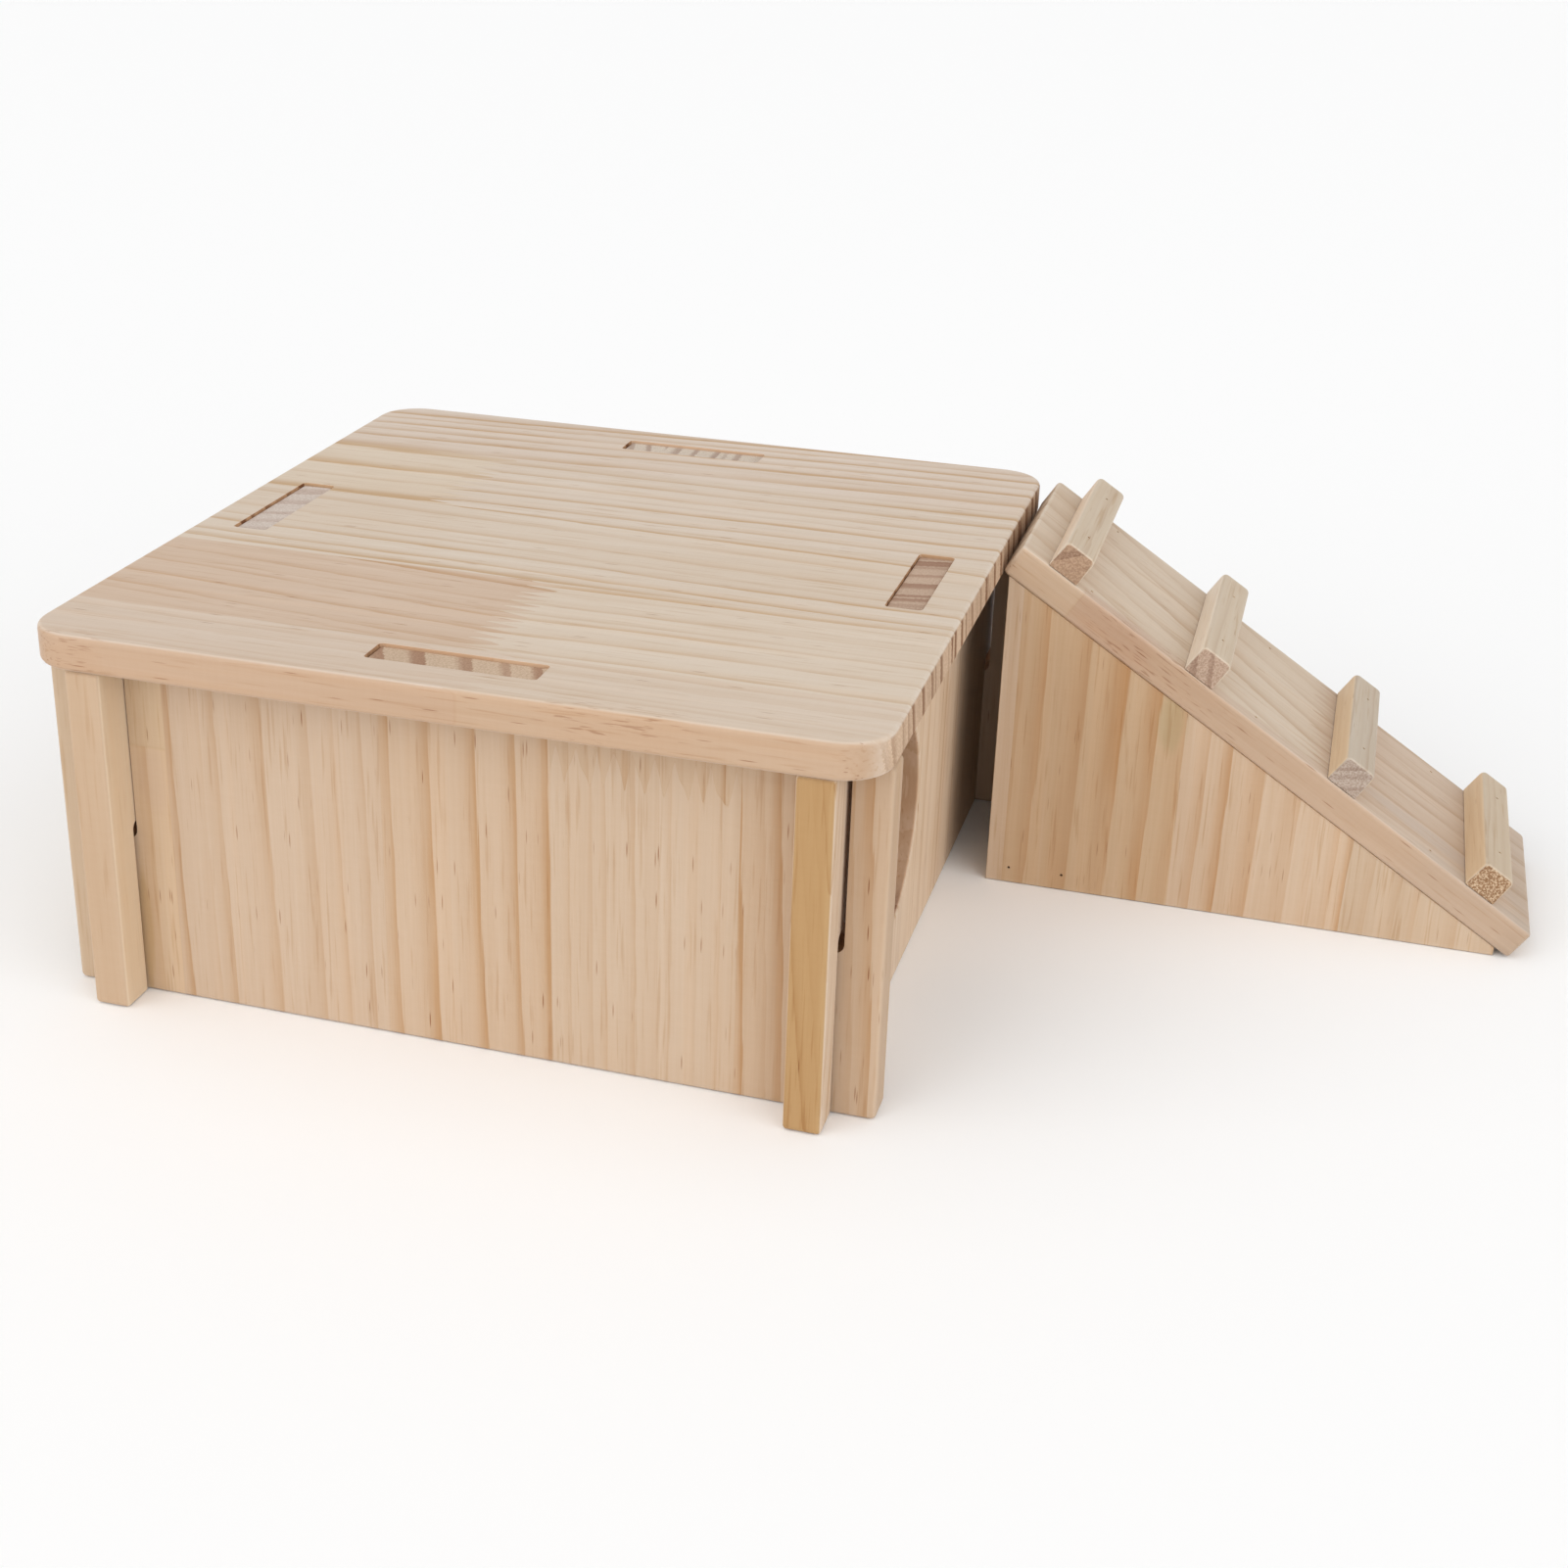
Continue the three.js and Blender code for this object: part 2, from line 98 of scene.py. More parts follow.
class Recipe:
    """A material under construction, with short calls for the nodes that it needs."""

    def __init__(self, name):
        self.material = bpy.data.materials.new(name)
        self.material.use_nodes = True
        self.tree = self.material.node_tree
        self.tree.nodes.clear()

    def node(self, kind, **settings):
        made = self.tree.nodes.new(kind)
        for key, value in settings.items():
            setattr(made, key, value)
        return made

    def feed(self, value, socket):
        if isinstance(value, bpy.types.NodeSocket):
            self.tree.links.new(value, socket)
        elif value is not None:
            socket.default_value = value

    def math(self, operation, a, b=None, c=None, clamp=False):
        made = self.node("ShaderNodeMath", operation=operation, use_clamp=clamp)
        for value, socket in zip((a, b, c), made.inputs):
            self.feed(value, socket)
        return made.outputs[0]

    def add(self, *values):
        total = values[0]
        for value in values[1:]:
            total = self.math("ADD", total, value)
        return total

    def times(self, *values):
        total = values[0]
        for value in values[1:]:
            total = self.math("MULTIPLY", total, value)
        return total

    def beyond(self, a, b):
        return self.math("GREATER_THAN", a, b)

    def vector(self, operation, a, b):
        made = self.node("ShaderNodeVectorMath", operation=operation)
        self.feed(a, made.inputs[0])
        self.feed(b, made.inputs[1])
        return made.outputs["Value"] if operation == "DOT_PRODUCT" else made.outputs[0]

    def combine(self, x, y, z):
        made = self.node("ShaderNodeCombineXYZ")
        for value, socket in zip((x, y, z), made.inputs):
            self.feed(value, socket)
        return made.outputs[0]

    def separate(self, vector):
        made = self.node("ShaderNodeSeparateXYZ")
        self.feed(vector, made.inputs[0])
        return made.outputs[0], made.outputs[1], made.outputs[2]

    def ease(self, value, low, high, start=0.0, end=1.0):
        """Smooth step of value from low to high, between start and end."""
        made = self.node("ShaderNodeMapRange", interpolation_type="SMOOTHSTEP")
        for number, socket in zip((value, low, high, start, end), made.inputs):
            self.feed(number, socket)
        return made.outputs[0]

    def noise(self, vector, detail=2.0, roughness=0.5):
        made = self.node("ShaderNodeTexNoise", noise_dimensions="3D")
        self.feed(vector, made.inputs["Vector"])
        self.feed(1.0, made.inputs["Scale"])
        self.feed(detail, made.inputs["Detail"])
        self.feed(roughness, made.inputs["Roughness"])
        return made.outputs[0]

    def swing(self, vector, amount, detail=2.0):
        """Noise between minus and plus amount."""
        centred = self.math("SUBTRACT", self.noise(vector, detail), 0.5)
        return self.math("MULTIPLY", centred, 2 * amount)

    def chance(self, seed):
        made = self.node("ShaderNodeTexWhiteNoise", noise_dimensions="1D")
        self.feed(seed, made.inputs["W"])
        return made.outputs["Value"]

    def mix(self, share, a, b, blend="MIX"):
        made = self.node("ShaderNodeMix", data_type="RGBA", blend_type=blend)
        self.feed(share, made.inputs[MIX_SHARE])
        self.feed(a, made.inputs[MIX_FIRST])
        self.feed(b, made.inputs[MIX_SECOND])
        return made.outputs[MIX_RESULT]

    def tinted(self, share, colour, tint):
        """Multiplies a colour by a tint, by a share from 0 to 1."""
        return self.mix(share, colour, self.mix(1.0, colour, (*tint, 1.0), "MULTIPLY"))

    def lookup(self, share, colours):
        """Picks one of the colours by a share from 0 to 1, in equal steps."""
        made = self.node("ShaderNodeValToRGB")
        ramp = made.color_ramp
        ramp.interpolation = "CONSTANT"
        while len(ramp.elements) < len(colours):
            ramp.elements.new(0.5)
        for place, (element, colour) in enumerate(zip(ramp.elements, colours)):
            element.position = place / len(colours)
            element.color = (*colour, 1.0)
        self.feed(share, made.inputs[0])
        return made.outputs[0]

    def curve(self, share, points):
        """A value from 0 to 1 read off straight lines between points whose places rise from 0 to 1."""
        made = self.node("ShaderNodeFloatCurve")
        line = made.mapping.curves[0]
        while len(line.points) < len(points):
            line.points.new(0.5, 0.5)
        for point in line.points:
            point.handle_type = "VECTOR"
        for number, location in enumerate(points):
            line.points[number].location = location
        made.mapping.update()
        self.feed(share, made.inputs["Value"])
        return made.outputs[0]

    def scale(self, colour, factor):
        made = self.node("ShaderNodeVectorMath", operation="SCALE")
        self.feed(colour, made.inputs[0])
        self.feed(factor, made.inputs["Scale"])
        return made.outputs[0]

    def warmed(self, colour, shade):
        """Shades wood the way denser fibres do: blue changes most and red least."""
        red = self.math("POWER", shade, RED_RESPONSE)
        blue = self.math("POWER", shade, BLUE_RESPONSE)
        return self.mix(1.0, colour, self.combine(red, shade, blue), "MULTIPLY")

    def lookup_numbers(self, share, rows):
        """Picks one of the rows of three numbers from 0 to 1."""
        split = self.node("ShaderNodeSeparateColor")
        self.feed(self.lookup(share, rows), split.inputs[0])
        return split.outputs[0], split.outputs[1], split.outputs[2]

    def bump(self, height, strength, distance):
        """Relief from a height between 0 and 1, with the distance that it stands for."""
        made = self.node("ShaderNodeBump")
        made.inputs["Strength"].default_value = strength
        made.inputs["Distance"].default_value = distance
        self.feed(height, made.inputs["Height"])
        return made.outputs[0]

    def surface(self, values):
        """Ends the material with one shader, whose inputs are given by name."""
        shader = self.node("ShaderNodeBsdfPrincipled")
        for name, value in values.items():
            self.feed(value, shader.inputs[name])
        output = self.node("ShaderNodeOutputMaterial")
        self.feed(shader.outputs[0], output.inputs["Surface"])


# Pine. A panel is a list of staves, each with the pieces that are finger jointed along it. The
# year lines of a board are places across it; every piece takes them with a shift, a stretch and
# a slant of its own, so that neighbouring pieces don't run on into each other.

# Tables of pieces hold shares from 0 to 1 of these
SLIDE_REACH_MM = 100.0
STRETCH_REACH = 3.0
TILT_REACH = 1.5
LEAN_REACH = 0.5
CONTRAST_REACH = 2.0
TINT_REACH = 1.1

# How much red and blue follow a change of shade, green being 1
RED_RESPONSE = 0.6
BLUE_RESPONSE = 1.5


class Pattern:
    """A noise in the wood: waves per mm along the grain and across it, detail and roughness."""

    def __init__(self, along, across, detail, roughness=0.5):
        self.waves = (along, across, across)
        self.detail = detail
        self.roughness = roughness


FIBRES = Pattern(0.022, 1.25, 3.0, 0.6)
THREADS = Pattern(0.04, 0.95, 1.0)
STRANDS = Pattern(0.01, 0.5, 2.0)
STREAKS = Pattern(0.005, 0.16, 2.0)
CLOUDS = Pattern(0.01, 0.028, 1.0)
SAW_RIPPLES = Pattern(0.75, 0.09, 1.0)
FLECK_DASHES = Pattern(0.14, 1.6, 1.0)
PORES = Pattern(0.4, 1.5, 3.0, 0.7)
FEATHERING = Pattern(0.03, 1.1, 2.0)
FADING = Pattern(0.011, 0.05, 2.0)
FLECK_CELLS = (0.07, 1.0, 1.0)
SLOW_BEND = (0.007, 0.014, 0.014)
QUICK_BEND = (0.028, 0.07, 0.07)
FINGER_WAVES = (0.0, 0.13, 0.0)

# Steps between the noises of two boards and of two pieces
BOARD_STEP_MM = (371.0, 53.0, 17.0)
BOARD_SEED_STEP = 7.9
PIECE_SEED_STEP = 23.7
PIECE_APART = 3.1

# Glue lines: where they start and end to fade, and how strong one between staves is
JOINT_GLUE_MM = (0.1, 0.9)
STAVE_GLUE_MM = (0.05, 0.3)
STAVE_GLUE = 0.6
FINGER_UNEVENNESS_MM = 3.5

# Spread of the year lines that aren't seen: spacing, darkness and breadth
SPACING_SPREAD = (0.55, 1.5)
FAINTEST_YEAR = 0.15
FAINT_BIAS = 1.4
BREADTH_SPREAD = (0.2, 0.5)

# One year, from 0 to 1: where late wood is darkest, and how it builds up to that
YEAR_PEAK = 0.96
YEAR_BORDER = (0.88, 0.95)
LEAST_START = 0.02
BROAD_LEAD = 0.35
BAND_BLUR = 0.12
NARROW_PART = 0.5
BROAD_PART = 0.36
BORDER_PART = 0.14

# How the year lines wander, fade along the board and break into strands
QUICK_WANDER = 0.2
FEATHER_MM = 1.0
FADE_RANGE = (0.28, 0.62)
FADE_STRENGTHS = (0.45, 1.15)
STRAND_SWING = 0.9
STRAND_LEAST = 0.55
LATE_LOSS_ON_EDGES = 0.6

# Surfaces: distances from the faces, and how squarely a surface has to face a way
RIM_MM = (0.2, 1.9)
RIM_RAGGED_MM = 0.5
INSIDE_NEARER_MM = (2.0, 4.0)
INSIDE_TOGETHER_MM = (14.0, 18.0)
END_TURN = (0.76, 0.99)
EDGE_TURN = (0.35, 0.85)
FACE_TURN = (0.3, 0.7)

# Stains, patches of painted shade and resin flecks
PATCH_FADE = (0.75, 1.3)
PATCH_RAGGED = 0.35
PATCH_STRANDS = 0.5
FLECK_GATE = (0.85, 0.96)
FLECK_SPOT = (0.08, 0.26)
FLECK_CLOUDS = 0.25
FLECK_IN_LATE = 0.9
FLECK_IN_EARLY = 0.65
DASH_GATE = (0.6, 0.7)
RESIN = (0.52, 0.33, 0.21)

# How strongly each pattern shades a face
FIBRE_SHADE = 0.12
STRAND_SHADE = 0.13
STREAK_SHADE = 0.2
CLOUD_SHADE = 0.12
RIPPLE_SHADE = 0.035
THREAD_SHADE = 0.15
THREAD_RANGE = (0.58, 0.76)
# Arrises are lightened: partly sanding wear, partly a painted highlight
RIM_WEAR_AND_HIGHLIGHT = 0.06
GLUE_SHADE = 0.05
WARM_STREAK = (1.0, 0.945, 0.88)
WARM_RANGE = (0.48, 0.72)
WARM_MOST = 0.55

# End grain: fine rings between and inside the years, and pores
RING_RISE = (0.5, 0.85)
RING_FALL = (0.94, 1.0)
BETWEEN_SHIFT = 0.4
BETWEEN_RANGE = (0.3, 0.8)
BETWEEN_PART = 0.8
DARK_RINGS = 0.85
PALE_RINGS = 0.2
BAND_PART = 0.75
PORE_RANGE = (0.4, 0.6)
RUST = (0.45, 0.33, 0.24)
END_CLOUDS = 0.2
END_SHADE = 0.95
SPECKLE_SHADE = 0.25

# Roughness and relief
LEAST_ROUGH = 0.5
FIBRE_ROUGH = 0.16
LATE_SMOOTH = 0.08
END_ROUGH = 0.16
FIBRE_RELIEF = 0.5
LATE_RELIEF = 0.22
RIPPLE_RELIEF = 0.1
FLECK_RELIEF = 0.35
GLUE_RELIEF = 0.2
PORE_RELIEF = 0.9
WOOD_BUMP = 0.5
WOOD_RELIEF = 0.12 * MM
WOOD_IOR = 1.47
WOOD_SPECULAR = 0.3


class Piece:
    """One length of wood in a stave: its tint and how its year lines run."""

    def __init__(self, tint, contrast=1.0, slide_mm=0.0, stretch=1.0, lean=0.0, tilt=0.3):
        self.tint = tint
        self.contrast = contrast
        self.slide_mm = slide_mm
        self.stretch = stretch
        self.lean = lean
        self.tilt = tilt

    def place_row(self):
        return (
            (self.slide_mm / SLIDE_REACH_MM + 1) / 2,
            self.stretch / STRETCH_REACH,
            (self.tilt / TILT_REACH + 1) / 2,
        )

    def run_row(self):
        return ((self.lean / LEAN_REACH + 1) / 2, self.contrast / CONTRAST_REACH, 0.0)


class Stave:
    """A strip of the panel up to a place across it, with its pieces and the joints between them."""

    def __init__(self, edge_mm, pieces, joints_mm=(), fingered=True):
        self.edge_mm = edge_mm
        self.pieces = pieces
        self.joints_mm = joints_mm
        self.fingered = fingered


def grown_years(seed, half_mm, ring_mm, room_mm=45.0, seen=()):
    """Year lines of a board, each with its place, darkness and breadth, around those that are seen."""
    luck = random.Random(seed)
    years = []
    place = -half_mm - room_mm
    while place < half_mm + room_mm:
        spacing = ring_mm * luck.uniform(*SPACING_SPREAD)
        darkness = FAINTEST_YEAR + (1 - FAINTEST_YEAR) * luck.random() ** FAINT_BIAS
        years.append((place, darkness, spacing * luck.uniform(*BREADTH_SPREAD)))
        place += spacing
    if seen:
        first = seen[0][0] - ring_mm / 2
        last = seen[-1][0] + ring_mm / 2
        years = [year for year in years if not first < year[0] < last] + list(seen)
        years.sort()
    return years


def panel_index(recipe, along, across, staves, pitch_mm, uneven):
    """The running number of the piece at a point, and how close the point is to a glue line."""
    saw = recipe.math("PINGPONG", recipe.add(across, uneven), pitch_mm / 2)
    saw = recipe.math("DIVIDE", saw, pitch_mm / 2)
    low = FINGER_BLUNT_SHARE
    finger = recipe.node("ShaderNodeMapRange")
    for number, socket in zip(
        (saw, low, 1 - low, -FINGER_LENGTH_MM / 2, FINGER_LENGTH_MM / 2), finger.inputs
    ):
        recipe.feed(number, socket)
    jagged = recipe.math("SUBTRACT", along, finger.outputs[0])
    index = 0.0
    glue = 0.0
    started = 1.0
    for place, stave in enumerate(staves):
        last = place == len(staves) - 1
        passed = 0.0 if last else recipe.beyond(across, stave.edge_mm)
        inside = recipe.math("SUBTRACT", started, passed)
        run = jagged if stave.fingered else along
        for joint in stave.joints_mm:
            over = recipe.times(inside, recipe.beyond(run, joint))
            index = recipe.add(index, over)
            distance = recipe.math("ABSOLUTE", recipe.math("SUBTRACT", run, joint))
            line = recipe.times(inside, recipe.ease(distance, *JOINT_GLUE_MM, 1.0, 0.0))
            glue = recipe.math("MAXIMUM", glue, line)
        if not last:
            # A point past this stave leaves all its pieces behind
            skipped = recipe.times(passed, float(len(stave.pieces)))
            index = recipe.add(index, skipped)
            distance = recipe.math("ABSOLUTE", recipe.math("SUBTRACT", across, stave.edge_mm))
            line = recipe.ease(distance, *STAVE_GLUE_MM, STAVE_GLUE, 0.0)
            glue = recipe.math("MAXIMUM", glue, line)
            started = passed
    return index, glue


def year_lines(recipe, bent, years, sharp_side):
    """Late wood at a place across the rings, with the running number of the year.

    Each year darkens slowly and ends sharply, on the side that sharp_side gives as 1 or -1.
    """
    places = [place for place, _, _ in years]
    spans = len(years) - 1
    reach = places[-1] - places[0]
    share = recipe.math("DIVIDE", recipe.math("SUBTRACT", bent, places[0]), reach, clamp=True)
    points = [((place - places[0]) / reach, number / spans) for number, place in enumerate(places)]
    year = recipe.times(recipe.curve(share, points), float(spans))
    number = recipe.math("MINIMUM", recipe.math("FLOOR", year), float(spans - 1))
    phase = recipe.math("SUBTRACT", year, number)
    if sharp_side < 0:
        phase = recipe.math("SUBTRACT", 1.0, phase)
    dark_points = []
    start_points = []
    for span in range(spans):
        line = span + 1 if sharp_side > 0 else span
        middle = (span + 0.5) / spans
        _, darkness, breadth = years[line]
        spacing = places[span + 1] - places[span]
        dark_points.append((middle, darkness))
        start_points.append((middle, max(LEAST_START, YEAR_PEAK - breadth / spacing)))
    middle = recipe.math("DIVIDE", recipe.add(number, 0.5), float(spans))
    darkness = recipe.curve(middle, dark_points)
    start = recipe.curve(middle, start_points)
    fall = recipe.ease(phase, YEAR_PEAK, 1.0, 1.0, 0.0)
    narrow = recipe.ease(phase, start, YEAR_PEAK)
    broad = recipe.ease(phase, recipe.math("SUBTRACT", start, BROAD_LEAD), YEAR_PEAK)
    border = recipe.ease(phase, *YEAR_BORDER)
    late = recipe.add(
        recipe.times(narrow, NARROW_PART), recipe.times(broad, BROAD_PART), recipe.times(border, BORDER_PART)
    )
    band = recipe.ease(phase, recipe.math("SUBTRACT", start, BAND_BLUR), recipe.add(start, BAND_BLUR))
    band = recipe.times(band, fall, darkness)
    return recipe.times(late, fall, darkness), band, number, phase, darkness


class Finish:
    """Colours of one board as linear red, green and blue, and how lively its wood is. Edge and cut tints can
    hold painted light and shade.
    """

    def __init__(
        self, pale, tan, end_pale, end_dark, edge=(1, 1, 1), fleck=1.0, streak=1.0, speckle=0.3,
        rings=0.35, cut=(1.0, 0.86, 0.62), edge_fleck=0.0, fleck_crowd=0.0, edge_turn=EDGE_TURN
    ):
        self.pale = pale
        self.tan = tan
        self.end_pale = end_pale
        self.end_dark = end_dark
        self.edge = edge
        self.fleck = fleck
        self.streak = streak
        self.speckle = speckle
        self.rings = rings
        self.cut = cut
        self.edge_fleck = edge_fleck
        self.fleck_crowd = fleck_crowd
        self.edge_turn = edge_turn


class StainAndShade:
    """A soft patch of tint, used for stains in the wood and for painted shade: where its middle is, how far
    it reaches, its tint and how strong its flecks are.
    """

    def __init__(self, along_mm, across_mm, reach_along_mm, reach_across_mm, tint, flecks=0.0):
        self.middle = (along_mm, across_mm, 0.0)
        self.squeeze = (1 / reach_along_mm, 1 / reach_across_mm, 0.0)
        self.tint = tint
        self.flecks = flecks


class PineRecipe(Recipe):
    """Sanded pine of one board. Each step leaves values that the later ones use."""

    def __init__(self, name, board, finish, seed):
        super().__init__(name)
        self.board = board
        self.finish = finish
        self.seed = seed
        source = self.node("ShaderNodeTexCoord")
        self.normal = source.outputs["Normal"]
        mapping = self.node("ShaderNodeMapping", vector_type="TEXTURE")
        self.feed(source.outputs["Object"], mapping.inputs["Vector"])
        mapping.inputs["Location"].default_value = board.centre
        mapping.inputs["Rotation"].default_value = board.turn()
        mapping.inputs["Scale"].default_value = (MM, MM, MM)
        self.place = mapping.outputs[0]
        self.along, self.across, self.through = self.separate(self.place)
        self.shifted = self.vector("ADD", self.place, [seed * step for step in BOARD_STEP_MM])

    def spread(self, waves):
        return self.vector("MULTIPLY", self.shifted, waves)

    def pattern(self, pattern):
        return self.noise(self.spread(pattern.waves), pattern.detail, pattern.roughness)

    def facing(self, axis):
        """How squarely the surface faces along an axis, either way."""
        return self.math("ABSOLUTE", self.vector("DOT_PRODUCT", self.normal, tuple(axis)))

    def signed(self, share, reach):
        """Turns a share from 0 to 1 into a value from minus to plus reach."""
        return self.math("MULTIPLY_ADD", share, 2 * reach, -reach)

    def find_piece(self, staves, pitch_mm):
        """Which piece of the panel a point is in, and that piece's own values."""
        uneven = self.swing(self.spread(FINGER_WAVES), FINGER_UNEVENNESS_MM, 1.0)
        index, self.glue = panel_index(self, self.along, self.across, staves, pitch_mm, uneven)
        pieces = [piece for stave in staves for piece in stave.pieces]
        share = self.math("DIVIDE", self.add(index, 0.5), float(len(pieces)))
        tint = self.lookup(share, [[part / TINT_REACH for part in piece.tint] for piece in pieces])
        self.tint = self.scale(tint, TINT_REACH)
        slide, stretch, tilt = self.lookup_numbers(share, [piece.place_row() for piece in pieces])
        lean, contrast, _ = self.lookup_numbers(share, [piece.run_row() for piece in pieces])
        self.slide = self.signed(slide, SLIDE_REACH_MM)
        self.tilt = self.signed(tilt, TILT_REACH)
        self.lean = self.signed(lean, LEAN_REACH)
        self.stretch = self.times(stretch, STRETCH_REACH)
        self.contrast = self.times(contrast, CONTRAST_REACH)
        self.piece_seed = self.math("MULTIPLY_ADD", index, PIECE_SEED_STEP, self.seed * BOARD_SEED_STEP)

    def draw_years(self, years, sharp_side, wander_mm):
        """Year lines, bent a little along the board and leaning through its thickness."""
        apart = self.combine(self.times(self.piece_seed, PIECE_APART), 0.0, 0.0)
        slow = self.vector("ADD", self.spread(SLOW_BEND), apart)
        self.quick = self.vector("ADD", self.spread(QUICK_BEND), apart)
        bent = self.math("SUBTRACT", self.across, self.times(self.lean, self.along))
        bent = self.add(
            self.math("MULTIPLY_ADD", bent, self.stretch, self.slide),
            self.swing(slow, wander_mm, 1.0),
            self.swing(self.quick, wander_mm * QUICK_WANDER, 1.0),
            self.swing(self.spread(FEATHERING.waves), FEATHER_MM, FEATHERING.detail),
            self.times(self.tilt, self.through),
        )
        lines = year_lines(self, bent, years, sharp_side)
        late, self.band, self.number, self.phase, self.darkness = lines
        self.strands = self.pattern(STRANDS)
        self.late = self.times(
            late,
            self.ease(self.pattern(FADING), *FADE_RANGE, *FADE_STRENGTHS),
            self.math("MULTIPLY_ADD", self.strands, STRAND_SWING, STRAND_LEAST),
        )

    def find_surfaces(self):
        """Sanded arrises, end grain, long edges, and faces cut inside the board; the arrises later get
        sanding wear with a painted highlight, the cut faces painted shade.
        """
        gaps = []
        for place, half in zip((self.along, self.across, self.through), self.board.half_mm):
            gaps.append(self.math("SUBTRACT", half, self.math("ABSOLUTE", place)))
        smaller = self.math("MINIMUM", gaps[0], gaps[1])
        larger = self.math("MAXIMUM", gaps[0], gaps[1])
        # A point on an arris is near two faces, so its second smallest distance is small
        second = self.math("MAXIMUM", smaller, self.math("MINIMUM", larger, gaps[2]))
        second = self.add(second, self.swing(self.quick, RIM_RAGGED_MM))
        self.rim = self.ease(second, *RIM_MM, 1.0, 0.0)
        inside = self.ease(smaller, *INSIDE_NEARER_MM)
        inside = self.times(inside, self.ease(self.add(smaller, larger), *INSIDE_TOGETHER_MM))
        self.end = self.ease(self.facing(self.board.grain), *END_TURN)
        edge = self.ease(self.facing(self.board.across), *self.finish.edge_turn)
        self.edge = self.times(edge, self.math("SUBTRACT", 1.0, inside))
        upright = self.ease(self.facing(self.board.through), *FACE_TURN, 1.0, 0.0)
        # Faces cut inside the board: the mask for the painted shade of the slots and the hole
        self.cut = self.times(inside, upright)
        kept = self.math("MULTIPLY_ADD", self.edge, -LATE_LOSS_ON_EDGES, 1.0)
        self.late = self.times(self.late, kept)

    def lay_stains_and_shade(self, stains_and_shade):
        """Soft patches with ragged ends: stains, and some painted shade."""
        self.patches = []
        for tone_patch in stains_and_shade:
            offset = self.vector("SUBTRACT", self.place, tone_patch.middle)
            reach = self.node("ShaderNodeVectorMath", operation="LENGTH")
            self.feed(self.vector("MULTIPLY", offset, tone_patch.squeeze), reach.inputs[0])
            ragged = self.add(reach.outputs["Value"], self.swing(self.quick, PATCH_RAGGED))
            ragged = self.math("MULTIPLY_ADD", self.strands, PATCH_STRANDS, ragged)
            self.patches.append((self.ease(ragged, *PATCH_FADE, 1.0, 0.0), tone_patch))

    def draw_fibres(self):
        self.fibres = self.pattern(FIBRES)
        self.streaks = self.pattern(STREAKS)
        self.clouds = self.pattern(CLOUDS)
        self.ripples = self.pattern(SAW_RIPPLES)
        self.pores = self.pattern(PORES)

    def scatter_flecks(self):
        """Resin flecks in some of the long cells of the wood, and crowds of them in some stains."""
        cells = self.node("ShaderNodeTexVoronoi", voronoi_dimensions="3D", feature="F1")
        self.feed(self.spread(FLECK_CELLS), cells.inputs["Vector"])
        self.feed(1.0, cells.inputs["Scale"])
        luck = self.node("ShaderNodeSeparateColor")
        self.feed(cells.outputs["Color"], luck.inputs[0])
        clouds = self.math("SUBTRACT", self.clouds, 0.5)
        crowd = self.math("MULTIPLY_ADD", clouds, FLECK_CLOUDS, luck.outputs[0])
        on_edges = self.times(self.edge, self.finish.edge_fleck)
        gate = self.ease(self.add(crowd, on_edges, self.finish.fleck_crowd), *FLECK_GATE)
        spot = self.ease(cells.outputs["Distance"], *FLECK_SPOT, 1.0, 0.0)
        gathered = self.math("MULTIPLY_ADD", self.late, FLECK_IN_LATE, FLECK_IN_EARLY, clamp=True)
        self.flecks = self.times(spot, gate, gathered, self.finish.fleck)
        dashes = self.ease(self.pattern(FLECK_DASHES), *DASH_GATE)
        for patch, tone_patch in self.patches:
            if tone_patch.flecks:
                crowded = self.times(patch, dashes, tone_patch.flecks)
                self.flecks = self.math("MAXIMUM", self.flecks, crowded)

    def face_shade(self):
        streak = self.finish.streak
        shade = 1.0
        for pattern, amount in (
            (self.fibres, FIBRE_SHADE * streak), (self.strands, STRAND_SHADE * streak),
            (self.streaks, STREAK_SHADE * streak), (self.clouds, CLOUD_SHADE), (self.ripples, RIPPLE_SHADE),
        ):
            shade = self.math("MULTIPLY_ADD", self.math("SUBTRACT", pattern, 0.5), amount, shade)
        threads = self.ease(self.pattern(THREADS), *THREAD_RANGE)
        shade = self.math("MULTIPLY_ADD", threads, -THREAD_SHADE * streak, shade)
        # Lighter on the arrises: sanding wear with a painted highlight
        shade = self.math("MULTIPLY_ADD", self.rim, RIM_WEAR_AND_HIGHLIGHT, shade)
        return self.math("MULTIPLY_ADD", self.glue, -GLUE_SHADE, shade)

    def face_colour(self):
        """Colour of the faces and long edges."""
        late = self.times(self.late, self.contrast)
        colour = self.mix(late, (*self.finish.pale, 1.0), (*self.finish.tan, 1.0))
        colour = self.mix(1.0, colour, self.tint, "MULTIPLY")
        colour = self.warmed(colour, self.face_shade())
        colour = self.tinted(self.ease(self.streaks, *WARM_RANGE, 0.0, WARM_MOST), colour, WARM_STREAK)
        colour = self.tinted(self.flecks, colour, RESIN)
        # Stains, and patches of painted shade
        for patch, tone_patch in self.patches:
            colour = self.tinted(patch, colour, tone_patch.tint)
        return self.tinted(self.edge, colour, self.finish.edge)

